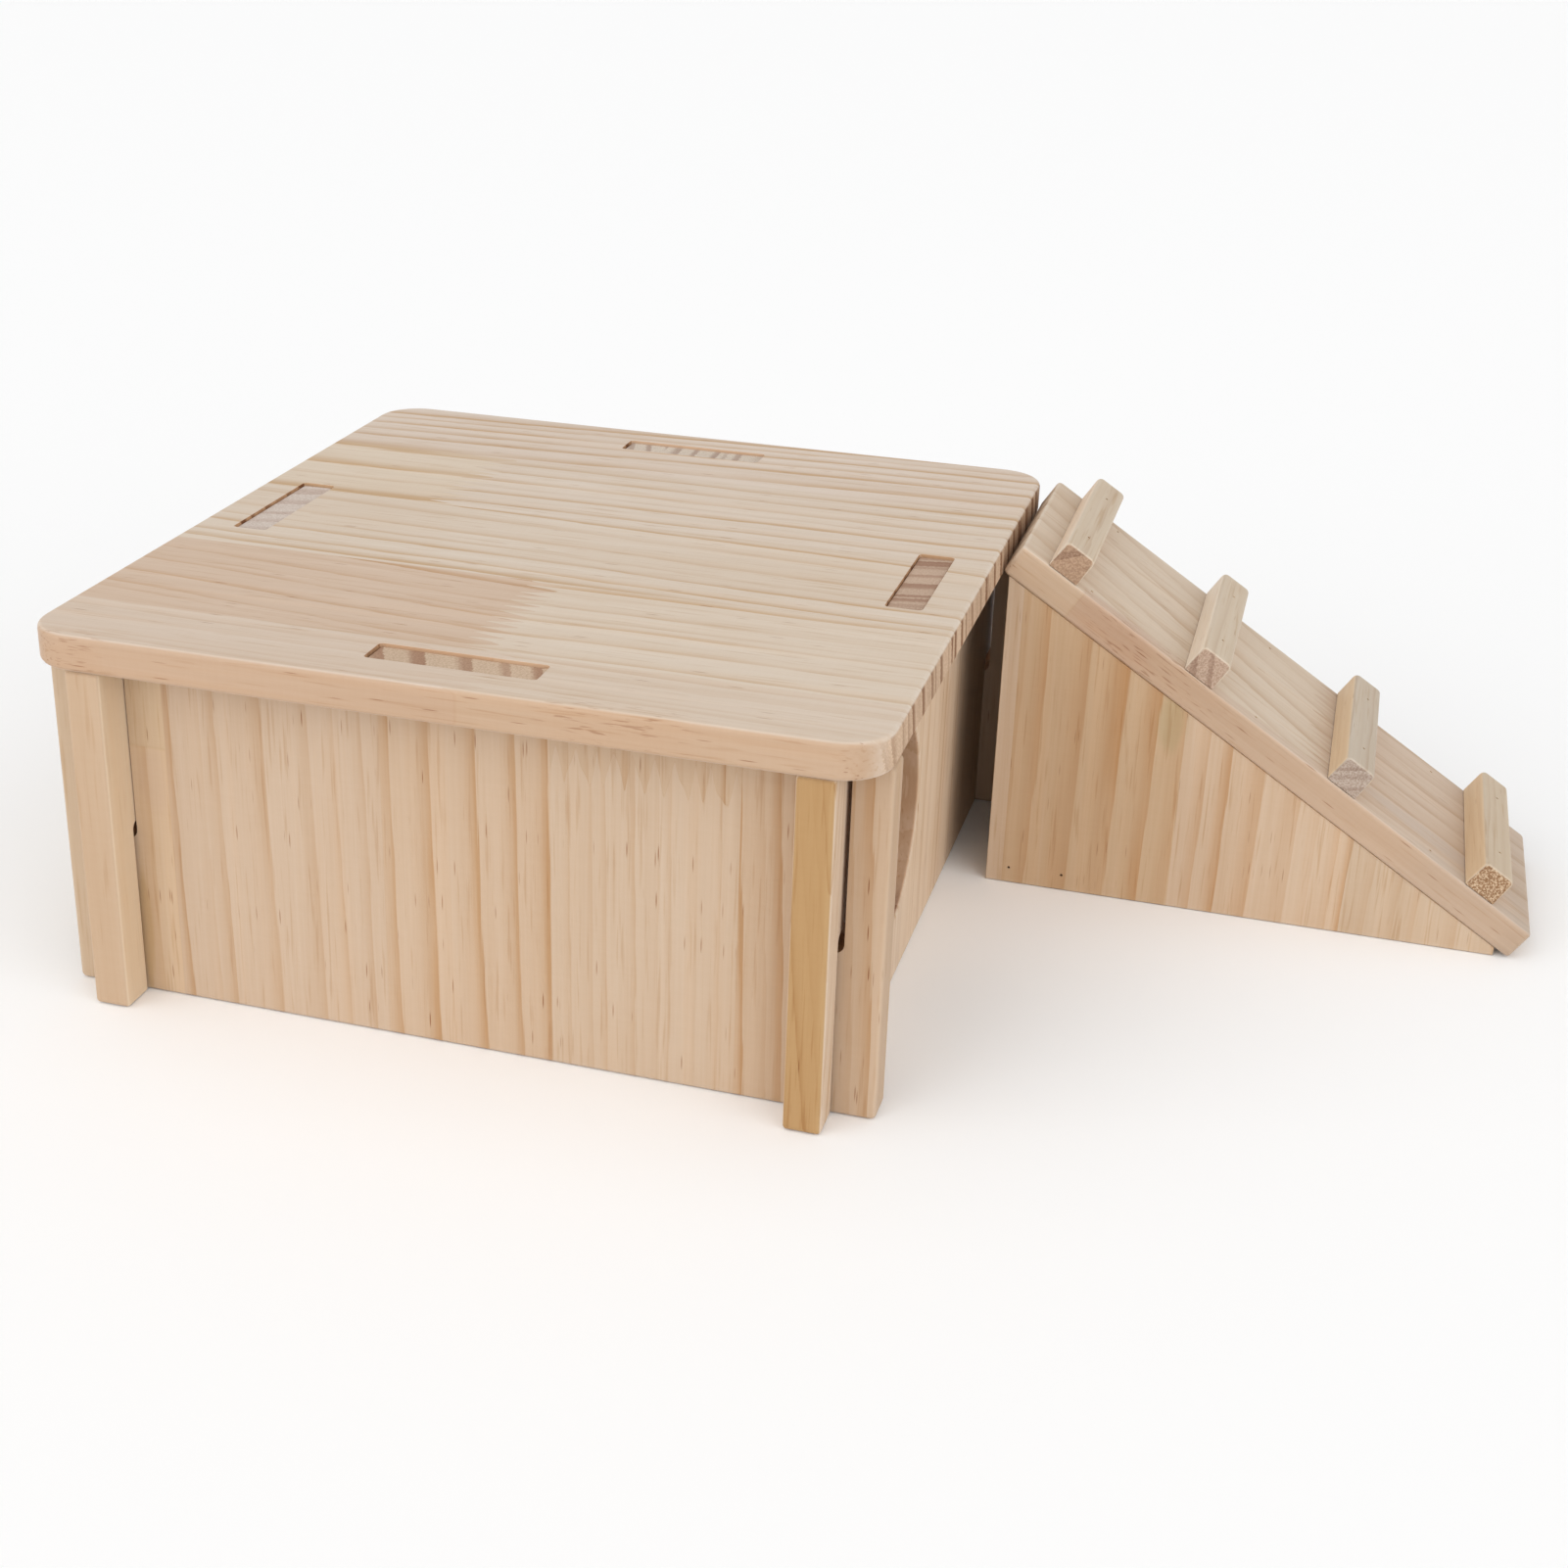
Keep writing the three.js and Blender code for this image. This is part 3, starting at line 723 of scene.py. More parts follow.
    def end_colour(self):
        """Colour of the end grain, where the year lines stand out more and lie closer."""
        between = self.math("PINGPONG", self.math("MULTIPLY_ADD", self.phase, 2.0, BETWEEN_SHIFT), 1.0)
        chance = self.chance(self.add(self.number, self.piece_seed))
        between = self.times(self.ease(between, *BETWEEN_RANGE), chance)
        ring = self.times(self.ease(self.phase, *RING_RISE), self.ease(self.phase, *RING_FALL, 1.0, 0.0))
        ring = self.math("MULTIPLY_ADD", between, BETWEEN_PART, ring)
        strength = self.math("MULTIPLY_ADD", self.darkness, DARK_RINGS, PALE_RINGS)
        ring = self.times(ring, self.finish.rings, self.contrast, strength)
        late = self.math("MULTIPLY_ADD", self.band, BAND_PART, ring, clamp=True)
        colour = self.mix(late, (*self.finish.end_pale, 1.0), (*self.finish.end_dark, 1.0))
        pitted = self.times(self.ease(self.pores, *PORE_RANGE, 1.0, 0.0), self.finish.speckle)
        shade = END_SHADE + SPECKLE_SHADE * self.finish.speckle
        shade = self.math("MULTIPLY_ADD", self.clouds, END_CLOUDS, shade)
        return self.scale(self.tinted(pitted, colour, RUST), shade)

    def sand(self, colour):
        """Roughness, relief and the shader."""
        rough = self.math("MULTIPLY_ADD", self.fibres, FIBRE_ROUGH, LEAST_ROUGH)
        rough = self.math("MULTIPLY_ADD", self.late, -LATE_SMOOTH, rough)
        rough = self.math("MULTIPLY_ADD", self.end, END_ROUGH, rough)
        relief = self.times(self.end, self.pores, PORE_RELIEF)
        for pattern, height in (
            (self.fibres, FIBRE_RELIEF), (self.late, LATE_RELIEF), (self.ripples, RIPPLE_RELIEF),
            (self.flecks, -FLECK_RELIEF), (self.glue, -GLUE_RELIEF),
        ):
            relief = self.math("MULTIPLY_ADD", pattern, height, relief)
        self.surface({
            "Base Color": colour,
            "Roughness": rough,
            "Normal": self.bump(relief, WOOD_BUMP, WOOD_RELIEF),
            "IOR": WOOD_IOR,
            "Specular IOR Level": WOOD_SPECULAR,
        })


def pine(
    name, board, finish, staves, years, seed, sharp_side=1, wander_mm=3.0, stains_and_shade=(),
    pitch_mm=FINGER_PITCH_MM
):
    """Sanded pine for one board."""
    recipe = PineRecipe(name, board, finish, seed)
    recipe.find_piece(staves, pitch_mm)
    recipe.draw_years(years, sharp_side, wander_mm)
    recipe.find_surfaces()
    recipe.lay_stains_and_shade(stains_and_shade)
    recipe.draw_fibres()
    recipe.scatter_flecks()
    colour = recipe.mix(recipe.end, recipe.face_colour(), recipe.end_colour())
    # Faces cut inside the board, in its slots and its hole, are a little browner: painted shade, the warm
    # dark deep in the slots and the hole
    recipe.sand(recipe.tinted(recipe.cut, colour, finish.cut))
    return recipe.material


# Wire of the nails, with scales in waves per metre
WIRE_GRAIN = (2600.0, 2600.0, 900.0)
WIRE_STAINS = (420.0, 420.0, 260.0)
WIRE_DARK = (0.06, 0.042, 0.032, 1.0)
WIRE_LIGHT = (0.11, 0.08, 0.062, 1.0)
WIRE_RUST = (0.07, 0.035, 0.02, 1.0)
RUST_RANGE = (0.35, 0.6)
WIRE_BUMP = 0.3
WIRE_RELIEF = 0.05 * MM
WIRE_ROUGH = 0.3
WIRE_ROUGH_SWING = 0.3


def nail_steel():
    """Plain wire with faint drawing lines and a few darker stains."""
    recipe = Recipe("nail_steel")
    source = recipe.node("ShaderNodeTexCoord")
    place = source.outputs["Object"]
    grain = recipe.noise(recipe.vector("MULTIPLY", place, WIRE_GRAIN), 3.0)
    tone_patch = recipe.noise(recipe.vector("MULTIPLY", place, WIRE_STAINS))
    colour = recipe.mix(grain, WIRE_DARK, WIRE_LIGHT)
    recipe.surface({
        "Base Color": recipe.mix(recipe.ease(tone_patch, *RUST_RANGE), colour, WIRE_RUST),
        "Metallic": 1.0,
        "Roughness": recipe.math("MULTIPLY_ADD", grain, WIRE_ROUGH_SWING, WIRE_ROUGH),
        "Normal": recipe.bump(grain, WIRE_BUMP, WIRE_RELIEF),
    })
    return recipe.material


# Boards as sanded pieces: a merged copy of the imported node, its square arrises eased

ARRIS = 0.35 * MM
SHARP_ARRIS = 0.12 * MM
ARRIS_ANGLE = math.radians(50)
MERGE_DISTANCE = 0.002 * MM
FLAT_ANGLE = math.radians(0.5)
ARRIS_STEPS = 2
NAIL_HOLE = 0.97 * MM
NAIL_MOUTH_SHARE = 0.58
MOUTH_DEPTH = 0.1 * MM

# How far a nailed face comes closer to its neighbour, and how deep the part that moves is
SEAT_DROP = 0.2 * MM
SEAT_REACH = 2.0 * MM
FOOT_REACH = 2.9 * MM
FOOT_ROUNDING_SHARE = 0.25


def nails_through(node):
    """Middle and outward direction of each nail in or near a board."""
    low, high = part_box(node)
    found = []
    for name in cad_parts:
        if "_pin_" not in name:
            continue
        pin_low, pin_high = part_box(name)
        apart = [max(low[i] - pin_high[i], pin_low[i] - high[i]) for i in range(3)]
        if max(apart) > 0:
            continue
        outward = OFF_RAMP
        if "rail_pin" in name:
            outward = -NORTH if name.startswith("near") else NORTH
        found.append(((pin_low + pin_high) / 2, outward))
    return found


def close_nail_mouths(mesh, node):
    """Draws the wood at each nail hole's mouth in, as the fibres spring back over the nail."""
    for centre, outward in nails_through(node):
        rim = []
        for vertex in mesh.verts:
            offset = vertex.co - centre
            height = offset.dot(outward)
            spoke = offset - outward * height
            if spoke.length < NAIL_HOLE:
                rim.append((height, spoke, vertex))
        if not rim:
            continue
        top = max(height for height, _, _ in rim)
        for height, spoke, vertex in rim:
            if top - height < MOUTH_DEPTH:
                vertex.co -= spoke * (1 - NAIL_MOUTH_SHARE)


def square_foot(mesh, board):
    """Takes most of the rounding off the two long edges that a cleat stands on."""
    across_half, through_half = board.half_mm[1] * MM, board.half_mm[2] * MM
    spread = 1 - FOOT_ROUNDING_SHARE
    for vertex in mesh.verts:
        offset = vertex.co - board.centre
        place = offset.dot(board.across)
        beside = across_half - abs(place)
        above = through_half - offset.dot(board.through)
        if max(beside, above) < FOOT_REACH:
            sideways = math.copysign(beside * spread, place)
            vertex.co += board.across * sideways + board.through * above * spread


def seat(mesh, towards):
    """Brings the face that is nailed to another board closer to it, within the joint's gap."""
    top = max(vertex.co.dot(towards) for vertex in mesh.verts)
    for vertex in mesh.verts:
        if top - vertex.co.dot(towards) < SEAT_REACH:
            vertex.co += towards * SEAT_DROP


def sanded_board(node, body, material, arris=ARRIS, towards=None, foot_of=None):
    """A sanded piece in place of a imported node; towards is where a nailed face goes, if any."""
    mesh = bmesh.new()
    mesh.from_mesh(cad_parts[node].data)
    bmesh.ops.remove_doubles(mesh, verts=mesh.verts, dist=MERGE_DISTANCE)
    close_nail_mouths(mesh, node)
    if foot_of:
        square_foot(mesh, foot_of)
    if towards:
        seat(mesh, towards)
    bmesh.ops.dissolve_limit(
        mesh, angle_limit=FLAT_ANGLE, verts=mesh.verts, edges=mesh.edges, use_dissolve_boundaries=False
    )
    data = bpy.data.meshes.new(node + "_sanded")
    mesh.to_mesh(data)
    mesh.free()
    piece = bpy.data.objects.new(node + "_sanded", data)
    bpy.context.scene.collection.objects.link(piece)
    data.materials.append(material)
    for face in data.polygons:
        face.use_smooth = True
    bevel = piece.modifiers.new("eased arrises", "BEVEL")
    bevel.limit_method = "ANGLE"
    bevel.angle_limit = ARRIS_ANGLE
    bevel.width = arris
    bevel.segments = ARRIS_STEPS
    bevel.use_clamp_overlap = True
    weighted = piece.modifiers.new("flat faces", "WEIGHTED_NORMAL")
    weighted.keep_sharp = True
    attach(piece, body)
    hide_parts(node)


# Tints of single pieces of wood
PLAIN = (1.0, 1.0, 1.0)
WARM = (1.0, 0.97, 0.93)
PINK = (0.955, 0.86, 0.79)
CREAM = (1.035, 1.03, 1.01)
GREY = (0.94, 0.96, 0.98)

# Colours of sanded pine in this batch: a grey-cream lid, peach walls and a warmer ramp. The lid's grey-cream
# is partly painted sheen: its faces are paler and greyer than its wood, in place of the grazing reflection
# on its top, and its edge tint brings the edges back to peach.
LID_COLOURS_AND_PAINTED_SHEEN = Finish(
    (0.64, 0.54, 0.445), (0.51, 0.345, 0.205), (0.57, 0.415, 0.29), (0.22, 0.11, 0.055), (0.79, 0.66, 0.55),
    1.05, rings=0.6, cut=(0.94, 0.78, 0.63), edge_fleck=0.14
)
WALL_FINISH = Finish(
    (0.54, 0.4, 0.286), (0.44, 0.265, 0.138), (0.54, 0.41, 0.296), (0.325, 0.182, 0.112), fleck=1.15,
    rings=0.12, cut=(0.8, 0.55, 0.36), fleck_crowd=0.05
)
BACK_FINISH = Finish(
    (0.54, 0.4, 0.286), (0.44, 0.265, 0.138), (0.565, 0.49, 0.41), (0.29, 0.188, 0.143), fleck=1.15,
    rings=0.12, cut=(0.8, 0.55, 0.36), fleck_crowd=0.05
)
LEFT_FINISH = Finish(
    (0.67, 0.525, 0.37), (0.56, 0.4, 0.24), (0.575, 0.5, 0.443), (0.44, 0.333, 0.276), (0.775, 0.695, 0.65),
    0.12, 0.7, rings=0.12, cut=(0.8, 0.55, 0.36)
)
RIGHT_FINISH = Finish(
    (0.665, 0.52, 0.39), (0.54, 0.365, 0.22), (0.478, 0.351, 0.262), (0.275, 0.15, 0.095), (0.66, 0.51, 0.3),
    streak=1.3, rings=0.25, cut=(0.9, 0.74, 0.64)
)
SIDE_FINISH = Finish(
    (0.595, 0.45, 0.323), (0.475, 0.27, 0.128), (0.55, 0.42, 0.3), (0.34, 0.23, 0.15),
    fleck=0.55, streak=1.25
)
RAMP_FINISH = Finish(
    (0.61, 0.505, 0.405), (0.485, 0.35, 0.24), (0.56, 0.43, 0.31), (0.34, 0.225, 0.14), (0.885, 0.79, 0.7),
    1.05, edge_fleck=0.13
)

# Year lines that are seen: place across the board, darkness and breadth
LID_YEARS = (
    (-152, 0.33, 2.7), (-141, 0.22, 2.7), (-133, 0.22, 2.7), (-129.5, 0.22, 2), (-118, 0.22, 4.1),
    (-110.6, 0.33, 2.7), (-105, 0.66, 2.7), (-91.1, 0.66, 3.4), (-77, 0.66, 2.7), (-72.2, 0.44, 1.6),
    (-63.9, 0.66, 3.4), (-52, 0.19, 2.7), (-46.4, 0.95, 4.1), (-39.6, 0.76, 2.7), (-28.5, 0.95, 3.4),
    (-21.1, 0.47, 2), (-11, 0.47, 3.4), (5.6, 0.38, 4.1), (16.8, 0.95, 3.4), (20.5, 0.28, 2),
    (29.5, 0.65, 2.7), (41.6, 0.85, 3.4), (49.5, 0.26, 1.6), (56.2, 0.72, 3.4), (66.9, 0.78, 4.1),
    (78.2, 1, 4.7), (91.6, 0.59, 6.8), (105.6, 1, 4.1), (115.4, 0.72, 3.4), (124.4, 0.91, 3.4),
    (132.8, 0.59, 2.7), (139, 1, 3.4), (150, 0.65, 4.1), (160, 0.65, 4.1),
)
FRONT_YEARS = (
    (-152, 0.3, 3), (-141, 0.3, 2), (-128, 0.4, 3), (-119, 0.4, 3), (-106.7, 0.8, 4.5), (-98, 0.85, 2.5),
    (-87.5, 0.2, 2), (-82.1, 0.6, 4), (-65.2, 0.7, 5), (-49.4, 0.4, 4), (-41.1, 0.4, 2), (-32, 0.5, 2.5),
    (-22.8, 1.0, 4.5), (-9, 1.0, 5), (6.6, 0.85, 4), (19, 0.65, 3), (29.6, 0.95, 3.5), (36.5, 0.5, 1.5),
    (43.6, 0.4, 2), (47.9, 0.5, 2), (57.4, 0.6, 2.5), (65, 0.3, 2), (68.4, 0.5, 1.5), (77, 0.2, 1.5),
    (84.5, 0.3, 2), (91.8, 1.0, 2), (98.8, 0.2, 2), (103.9, 0.8, 4), (115, 0.4, 3), (125.8, 0.4, 3),
    (131.5, 0.9, 5), (139, 0.3, 2), (152, 0.3, 2),
)
NEAR_SIDE_YEARS = (
    (-100, 0.3, 3), (-85, 0.3, 3), (-77, 0.6, 6), (-61.5, 0.6, 10), (-47.5, 1.0, 10), (-35.4, 1.0, 7),
    (-25.4, 0.8, 6), (-16.1, 0.5, 5), (-7.9, 0.8, 5), (4.1, 0.6, 8), (17.2, 0.5, 8), (24.4, 0.3, 3),
    (32.5, 0.65, 4), (37.4, 0.95, 3), (46.6, 0.5, 4), (56.4, 0.4, 4), (63.2, 0.3, 3), (78, 0.4, 4),
    (92, 0.3, 3), (104, 0.3, 3),
)
RAMP_YEARS = (
    (-98, 0.5, 4), (-81, 0.5, 4), (-64, 0.5, 4), (-50, 0.6, 5), (-33, 0.5, 5), (-16, 0.7, 5), (0.5, 0.6, 6),
    (17, 0.7, 5), (33, 0.5, 5), (50, 0.6, 4), (66, 0.4, 4), (83, 0.5, 4), (100, 0.5, 4),
)
BACK_TENON_YEARS = (
    (-14.8, 0.7, 3), (-3.6, 0.7, 3), (3.2, 0.75, 2), (12.2, 0.8, 2.5), (15.2, 0.4, 1.5), (21, 0.7, 2.5),
)
LEFT_TENON_YEARS = (
    (-26, 0.5, 3), (-17.2, 0.5, 4), (-7.5, 0.8, 2.5), (4.8, 0.7, 5), (17.1, 0.8, 7), (30, 0.5, 4),
)
RIGHT_TENON_YEARS = (
    (-14.9, 0.8, 3), (-11.6, 0.8, 2), (0.6, 0.8, 5), (10, 0.5, 2.5), (18.3, 0.35, 2), (24.2, 1.0, 5.5),
    (29, 0.6, 3),
)

# Boards and their staves. A piece is a tint, contrast, slide, stretch, lean and tilt.
LID = Board("lid", EAST, NORTH)
LID_STAVES = (
    Stave(-108.5, (Piece((1.0, 0.965, 0.945), 1.2, 3.0), Piece((1.01, 0.985, 0.96), 1.2)), (10.0,)),
    Stave(-44.5, (Piece(PINK, 1.0, 9.0, 1.1, -0.09), Piece(CREAM, 0.95)), (1.0,)),
    Stave(21.5, (Piece((1.02, 1.015, 1.0), 1.1, -2.7, 1.0, -0.044),)),
    Stave(83.5, (Piece((1.03, 1.02, 0.98), 1.35, 30.1, 0.45), Piece((1.02, 1.02, 1.02), 1.2)), (-66.0,)),
    Stave(142.0, (Piece((1.02, 1.015, 1.03), 1.3, 2.8, 1.0, 0.045),)),
)

FRONT = Board("front_wall", UP, EAST)
BACK = Board("back_wall", UP, EAST)
FRONT_STAVES = (
    Stave(-117.0, (Piece((1.0, 1.0, 0.96), 0.35),)),
    # Next stave: its lower piece is lightened past its own tone as painted light, against the shade beside
    # the left wall's end
    Stave(
        -98.3, (Piece((1.09, 1.08, 1.02), 0.5), Piece((1.04, 1.03, 0.95), 1.3, 5.0, 1.6)), (24.5,),
        fingered=False
    ),
    Stave(-24.0, (Piece(PLAIN, 1.0, 0.0, 1.0, -0.02, 0.45),)),
    Stave(32.0, (Piece((1.0, 0.98, 0.95), 1.1, 0.0, 1.0, -0.02, 0.45),)),
    Stave(
        92.0, (Piece((1.0, 1.01, 1.01), 0.75, 0.0, 1.0, -0.01), Piece((0.96, 0.935, 0.885), 1.0, -3.0, 1.1)),
        (39.9,)
    ),
    Stave(140.0, (Piece((0.975, 0.945, 0.9), 1.1, 0.0, 1.0, -0.02),)),
)
BACK_STAVES = (
    Stave(-70.0, (Piece(PLAIN, 0.9, 6.0, 1.1, 0.01),)),
    Stave(-12.0, (Piece(WARM, 0.9, -9.0), Piece(CREAM, 0.9, 20.0)), (-20.0,)),
    Stave(47.0, (Piece(CREAM, 1.0, 0.0, 1.0, -0.01, 0.05),)),
    Stave(106.0, (Piece(WARM, 1.0, 0.0, 0.7, 0.01), Piece(PLAIN, 1.0, 9.0, 1.2)), (22.0,)),
    Stave(140.0, (Piece(PLAIN, 0.9),)),
)

LEFT = Board("left_wall", UP, NORTH)
RIGHT = Board("right_wall", UP, NORTH)
LEFT_STAVES = (
    Stave(-92.0, (Piece(PLAIN, 0.25, 0.0, 1.0, 0.0, 0.9),)),
    Stave(-33.0, (Piece(PLAIN, 0.9, 8.0), Piece(WARM, 0.9, -12.0)), (-14.0,)),
    Stave(26.0, (Piece(GREY, 1.0, 0.0, 1.0, 0.0, 0.28),)),
    Stave(85.0, (Piece(WARM, 0.9, 7.0), Piece(PLAIN, 1.0, -15.0, 1.2)), (28.0,)),
    Stave(141.0, (Piece(PLAIN, 0.9, 5.0),)),
)
RIGHT_STAVES = (
    Stave(-129.5, (Piece(PLAIN, 2.0, 4.0, 1.0, 0.14, 1.4),)),
    Stave(-100.0, (Piece(PLAIN, 0.9, 4.0, 1.0, 0.03),)),
    Stave(-30.0, (Piece(PLAIN, 0.9),)),
    Stave(30.0, (Piece(CREAM, 0.9, 0.0, 1.0, 0.0, 0.22),)),
    Stave(80.0, (Piece(WARM, 1.0, -6.0), Piece(PLAIN, 1.0, 5.0, 0.8)), (18.0,)),
    Stave(141.0, (Piece(WARM, 0.9, 9.0),)),
)

RAMP_BOARD = Board("ramp_board", DOWNHILL, NORTH)
RAMP_BOARD_STAVES = (
    Stave(
        -36.0, (Piece((1.0, 0.98, 0.95), 0.5, 5.0), Piece((0.97, 0.93, 0.91), 0.6, -7.0)), (-85.5,),
        fingered=False
    ),
    Stave(
        43.0, (Piece(CREAM, 1.1, 0.0, 0.97, -0.25), Piece((0.98, 0.93, 0.9), 1.0, 6.0, 1.15, 0.04)),
        (18.0,)
    ),
)
NEAR_SIDE = Board("ramp_near_side", UP, EAST)
FAR_SIDE = Board("ramp_far_side", UP, EAST)
RAMP_SIDE_STAVES = (
    Stave(-85.0, (Piece((1.0, 0.99, 0.98), 0.5, 0.0, 1.0, 0.023),)),
    Stave(-24.0, (Piece((0.95, 0.88, 0.77), 0.85, 0.0, 1.0, 0.023),)),
    Stave(37.4, (Piece((1.0, 0.97, 0.94), 0.95, 0.0, 1.0, 0.023),)),
    Stave(93.0, (Piece((0.93, 0.92, 0.9), 0.9, 0.0, 1.0, 0.03),)),
)
RAIL = Board("ramp_floor_rail", NORTH, -EAST)
RAIL_STAVES = (Stave(50.0, (Piece(PLAIN, 0.9),)),)

# Stains, and one strip of painted shade: place along and across, reach along and across, tint and strength
# of the flecks in them
LID_STAINS = (
    StainAndShade(60.0, -141.0, 27.0, 7.5, (1.0, 0.985, 0.97), 0.5),
    StainAndShade(-120.0, -141.0, 14.0, 8.0, (1.0, 0.985, 0.97), 0.4),
)
FRONT_STAINS_AND_SHADE = (
    StainAndShade(14.0, -103.5, 13.0, 6.0, (0.97, 0.96, 0.98)),
    # Painted shade: a warm brown strip in the inside corner beside the left wall's end
    StainAndShade(-40.0, -110.5, 30.0, 3.0, (0.9, 0.84, 0.7)),
)
NEAR_SIDE_STAINS = (StainAndShade(12.0, -28.5, 14.0, 6.0, (0.9, 0.96, 0.92)),)
RAMP_STAINS = (
    StainAndShade(-68.0, -42.0, 20.0, 9.0, (0.97, 0.93, 0.92)),
    StainAndShade(70.0, -24.0, 45.0, 7.0, (0.93, 0.95, 0.99)),
    StainAndShade(88.0, -42.0, 34.0, 12.0, (0.94, 0.955, 0.975)),
    StainAndShade(112.0, 0.0, 14.0, 60.0, (0.9, 0.91, 0.92)),
    StainAndShade(-50.0, -42.0, 34.0, 8.0, (1.0, 0.985, 0.975), 0.55),
)

# Year lines elsewhere, from a seed, half the board's width and the usual spacing
BACK_YEARS = grown_years(3, 140, 10.5, seen=BACK_TENON_YEARS)
LEFT_YEARS = grown_years(4, 141, 10, seen=LEFT_TENON_YEARS)
RIGHT_YEARS = grown_years(5, 141, 5.6, seen=RIGHT_TENON_YEARS)
FAR_SIDE_YEARS = grown_years(8, 93, 11)
RAIL_YEARS = grown_years(9, 20, 6)

lid_pine = pine("lid_pine", LID, LID_COLOURS_AND_PAINTED_SHEEN, LID_STAVES, LID_YEARS, 1, -1, stains_and_shade=LID_STAINS)
front_pine = pine(
    "front_wall_pine", FRONT, WALL_FINISH, FRONT_STAVES, FRONT_YEARS, 2, 1, 1.5, FRONT_STAINS_AND_SHADE,
    WALL_FINGER_PITCH_MM
)
back_pine = pine("back_wall_pine", BACK, BACK_FINISH, BACK_STAVES, BACK_YEARS, 3)
left_pine = pine("left_wall_pine", LEFT, LEFT_FINISH, LEFT_STAVES, LEFT_YEARS, 4, -1, 1.0)
right_pine = pine("right_wall_pine", RIGHT, RIGHT_FINISH, RIGHT_STAVES, RIGHT_YEARS, 5, 1, 1.0)
ramp_board_pine = pine(
    "ramp_board_pine", RAMP_BOARD, RAMP_FINISH, RAMP_BOARD_STAVES, RAMP_YEARS, 6, -1, 2.0, RAMP_STAINS
)
near_side_pine = pine(
    "ramp_near_side_pine", NEAR_SIDE, SIDE_FINISH, RAMP_SIDE_STAVES, NEAR_SIDE_YEARS, 7, 1, 1.5,
    NEAR_SIDE_STAINS
)
far_side_pine = pine(
    "ramp_far_side_pine", FAR_SIDE, SIDE_FINISH, RAMP_SIDE_STAVES, FAR_SIDE_YEARS, 8
)
rail_pine = pine("ramp_rail_pine", RAIL, SIDE_FINISH, RAIL_STAVES, RAIL_YEARS, 9)

sanded_board("lid", "lid", lid_pine)
sanded_board("front_wall", "front_and_back_walls", front_pine)
sanded_board("back_wall", "front_and_back_walls", back_pine)
sanded_board("left_wall", "side_walls", left_pine)
sanded_board("right_wall", "side_walls", right_pine)
sanded_board("ramp_board", "ramp", ramp_board_pine)
sanded_board("ramp_near_side", "ramp", near_side_pine, SHARP_ARRIS, towards=OFF_RAMP)
sanded_board("ramp_far_side", "ramp", far_side_pine, SHARP_ARRIS, towards=OFF_RAMP)
sanded_board("ramp_floor_rail", "ramp", rail_pine)

# Cleats, each from its own stick: its wood, tint of the long sides, pale and dark end grain,
# speckle of the end grain and mm from year to year. The tint of the long sides is partly painted light:
# it lifts the uphill and downhill faces past their wood's own colour, to make up for the light they lack.
CLEAT_PALE = (0.56, 0.46, 0.355)
CLEAT_TAN = (0.44, 0.31, 0.21)
CLEAT_FLECKS = 0.5
# How squarely a face must look along the slope to take the side tint's painted light; narrow, so the arrises
# take none
CLEAT_PAINTED_LIGHT_TURN = (0.72, 0.99)
CLEAT_HALF_MM = 12
CLEAT_ROOM_MM = 20.0
CLEAT_YEARS_SEED = 20
CLEAT_SEED = 9
CLEAT_STICKS = (
    (
        Piece(CREAM, 0.8, 0.0, 1.0, 0.0, 0.9), (1.235, 1.205, 1.21),
        (0.405, 0.277, 0.188), (0.245, 0.15, 0.1), 0.5, 5.0,
    ),
    (
        Piece(CREAM, 0.6, 2.0, 1.0, 0.0, -0.6), (1.37, 1.45, 1.56),
        (0.46, 0.34, 0.26), (0.3, 0.195, 0.14), 0.45, 6.0,
    ),
    (
        Piece(GREY, 0.9, 1.0, 1.0, 0.0, 1.2), (1.34, 1.21, 1.02),
        (0.432, 0.355, 0.298), (0.28, 0.2, 0.155), 0.5, 4.5,
    ),
    (
        Piece((1.0, 0.98, 0.93), 0.9, -1.0, 1.0, 0.03, 0.7), (1.25, 1.145, 1.0),
        (0.445, 0.33, 0.22), (0.265, 0.16, 0.09), 1.5, 4.0,
    ),
)
for row, (wood, side_tint_and_painted_light, end_pale, end_dark, speckle, ring_mm) in enumerate(CLEAT_STICKS, start=1):
    name = f"ramp_cleat_{row}"
    cleat = Board(name, NORTH, DOWNHILL)
    finish = Finish(
        CLEAT_PALE, CLEAT_TAN, end_pale, end_dark, side_tint_and_painted_light, CLEAT_FLECKS, speckle=speckle,
        edge_turn=CLEAT_PAINTED_LIGHT_TURN
    )
    years = grown_years(CLEAT_YEARS_SEED + row, CLEAT_HALF_MM, ring_mm, CLEAT_ROOM_MM)
    cleat_pine = pine(name + "_pine", cleat, finish, (Stave(50.0, (wood,)),), years, CLEAT_SEED + row)
    sanded_board(name, "ramp", cleat_pine, towards=-OFF_RAMP, foot_of=cleat)

wire = nail_steel()
for name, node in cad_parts.items():
    if "_pin_" in name:
        node.data.materials.clear()
        node.data.materials.append(wire)


# Floor, light and camera

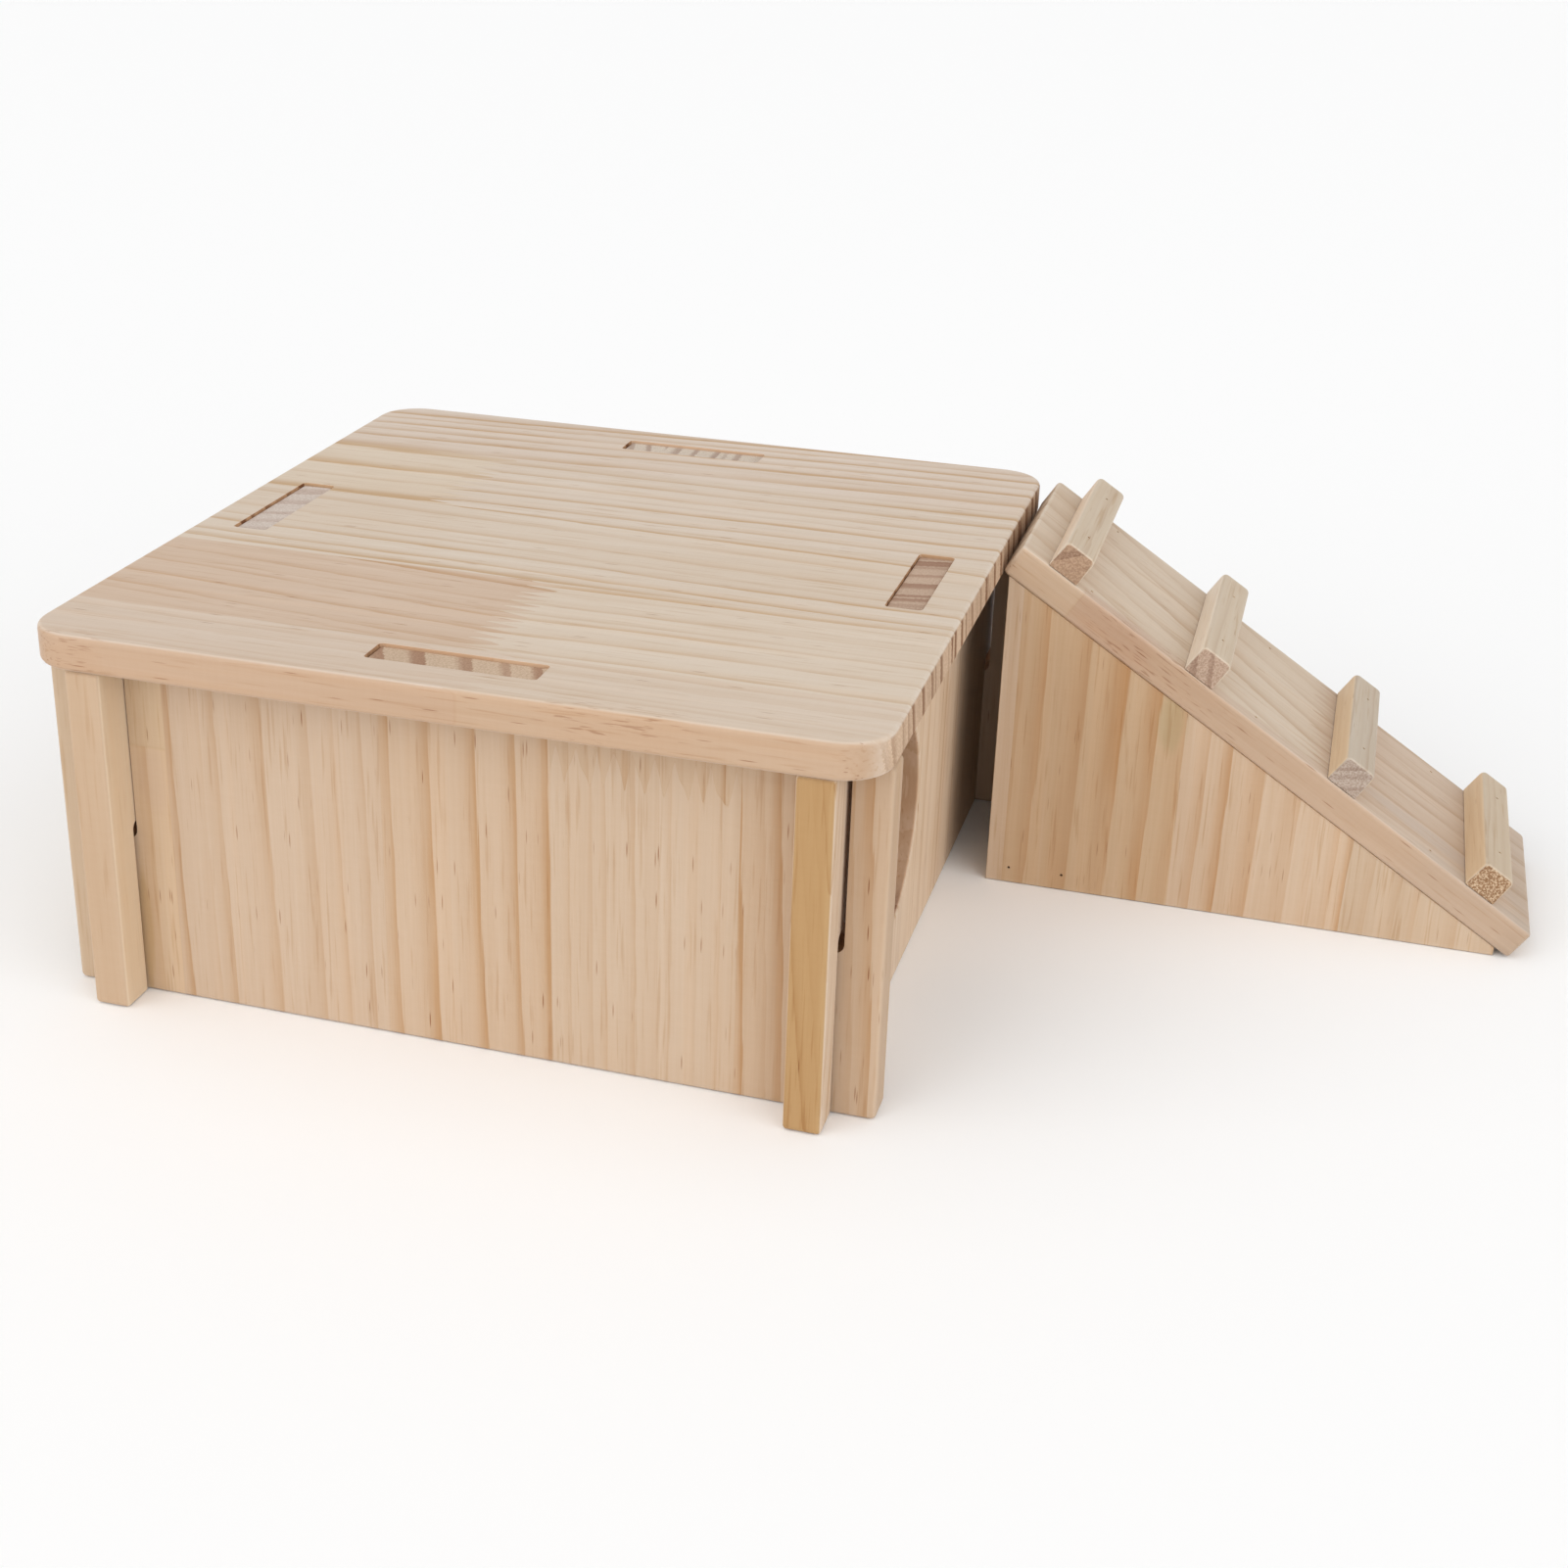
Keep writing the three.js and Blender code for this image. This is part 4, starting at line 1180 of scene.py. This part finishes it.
FLOOR_HALF = 6.0
FLOOR_DROP = 0.2 * MM
ROOM_STRENGTH = 0.55
SENSOR_WIDTH_MM = 36.0
floor_mesh = bpy.data.meshes.new("pale_floor")
sheet = bmesh.new()
bmesh.ops.create_grid(sheet, x_segments=1, y_segments=1, size=FLOOR_HALF)
sheet.to_mesh(floor_mesh)
sheet.free()
floor = bpy.data.objects.new("pale_floor", floor_mesh)
bpy.context.scene.collection.objects.link(floor)
floor.location.z = -FLOOR_DROP
paper = Recipe("pale_floor")
paper.surface({"Base Color": (0.95, 0.95, 0.95, 1.0), "Roughness": 0.8, "Specular IOR Level": 0.2})
floor_mesh.materials.append(paper.material)

world = bpy.data.worlds.new("soft_room")
bpy.context.scene.world = world
world.use_nodes = True
background = world.node_tree.nodes["Background"]
background.inputs["Color"].default_value = (1.0, 1.0, 1.0, 1.0)
background.inputs["Strength"].default_value = ROOM_STRENGTH


def direction(azimuth, elevation):
    """Points up and away from the middle. Azimuth is counted from the front towards the right."""
    return Vector((
        math.sin(azimuth) * math.cos(elevation),
        -math.cos(azimuth) * math.cos(elevation),
        math.sin(elevation),
    ))


def wide_light(name, azimuth, elevation, strength, spread):
    """A broad, even light from far away, with its angles in degrees."""
    data = bpy.data.lights.new(name, "SUN")
    data.energy = strength
    data.angle = math.radians(spread)
    light = bpy.data.objects.new(name, data)
    bpy.context.scene.collection.objects.link(light)
    towards = direction(math.radians(azimuth), math.radians(elevation))
    light.rotation_euler = towards.to_track_quat("Z", "Y").to_euler()


wide_light("window_left", -40, 20, 1.0, 60)
wide_light("window_right", 60, 20, 1.0, 60)
wide_light("room_ceiling", -10, 62, 0.95, 100)

# The camera that took the photograph, as solved from its measured edges
CAMERA_PLACE = Vector((0.151972, -0.697217, 0.380110))
CAMERA_AZIMUTH = math.radians(15.9055)
CAMERA_ELEVATION = math.radians(23.1371)
CAMERA_ROLL = math.radians(1.492)
PICTURE_SIDE = 1601.0
FOCAL_PIXELS = 2272.28
CENTRE_PIXEL = (742.78, 735.90)

camera_data = bpy.data.cameras.new("camera")
camera = bpy.data.objects.new("camera", camera_data)
bpy.context.scene.collection.objects.link(camera)
bpy.context.scene.camera = camera
camera_data.sensor_width = SENSOR_WIDTH_MM
camera_data.lens = camera_data.sensor_width * FOCAL_PIXELS / PICTURE_SIDE
camera_data.shift_x = 0.5 - CENTRE_PIXEL[0] / PICTURE_SIDE
camera_data.shift_y = CENTRE_PIXEL[1] / PICTURE_SIDE - 0.5
back = direction(CAMERA_AZIMUTH, CAMERA_ELEVATION)
level = Vector((math.cos(CAMERA_AZIMUTH), math.sin(CAMERA_AZIMUTH), 0))
raised = back.cross(level)
right = level * math.cos(CAMERA_ROLL) + raised * math.sin(CAMERA_ROLL)
top = raised * math.cos(CAMERA_ROLL) - level * math.sin(CAMERA_ROLL)
turn = Matrix((right, top, back)).transposed().to_4x4()
camera.matrix_world = Matrix.Translation(CAMERA_PLACE) @ turn

bpy.context.scene.view_settings.view_transform = "Standard"
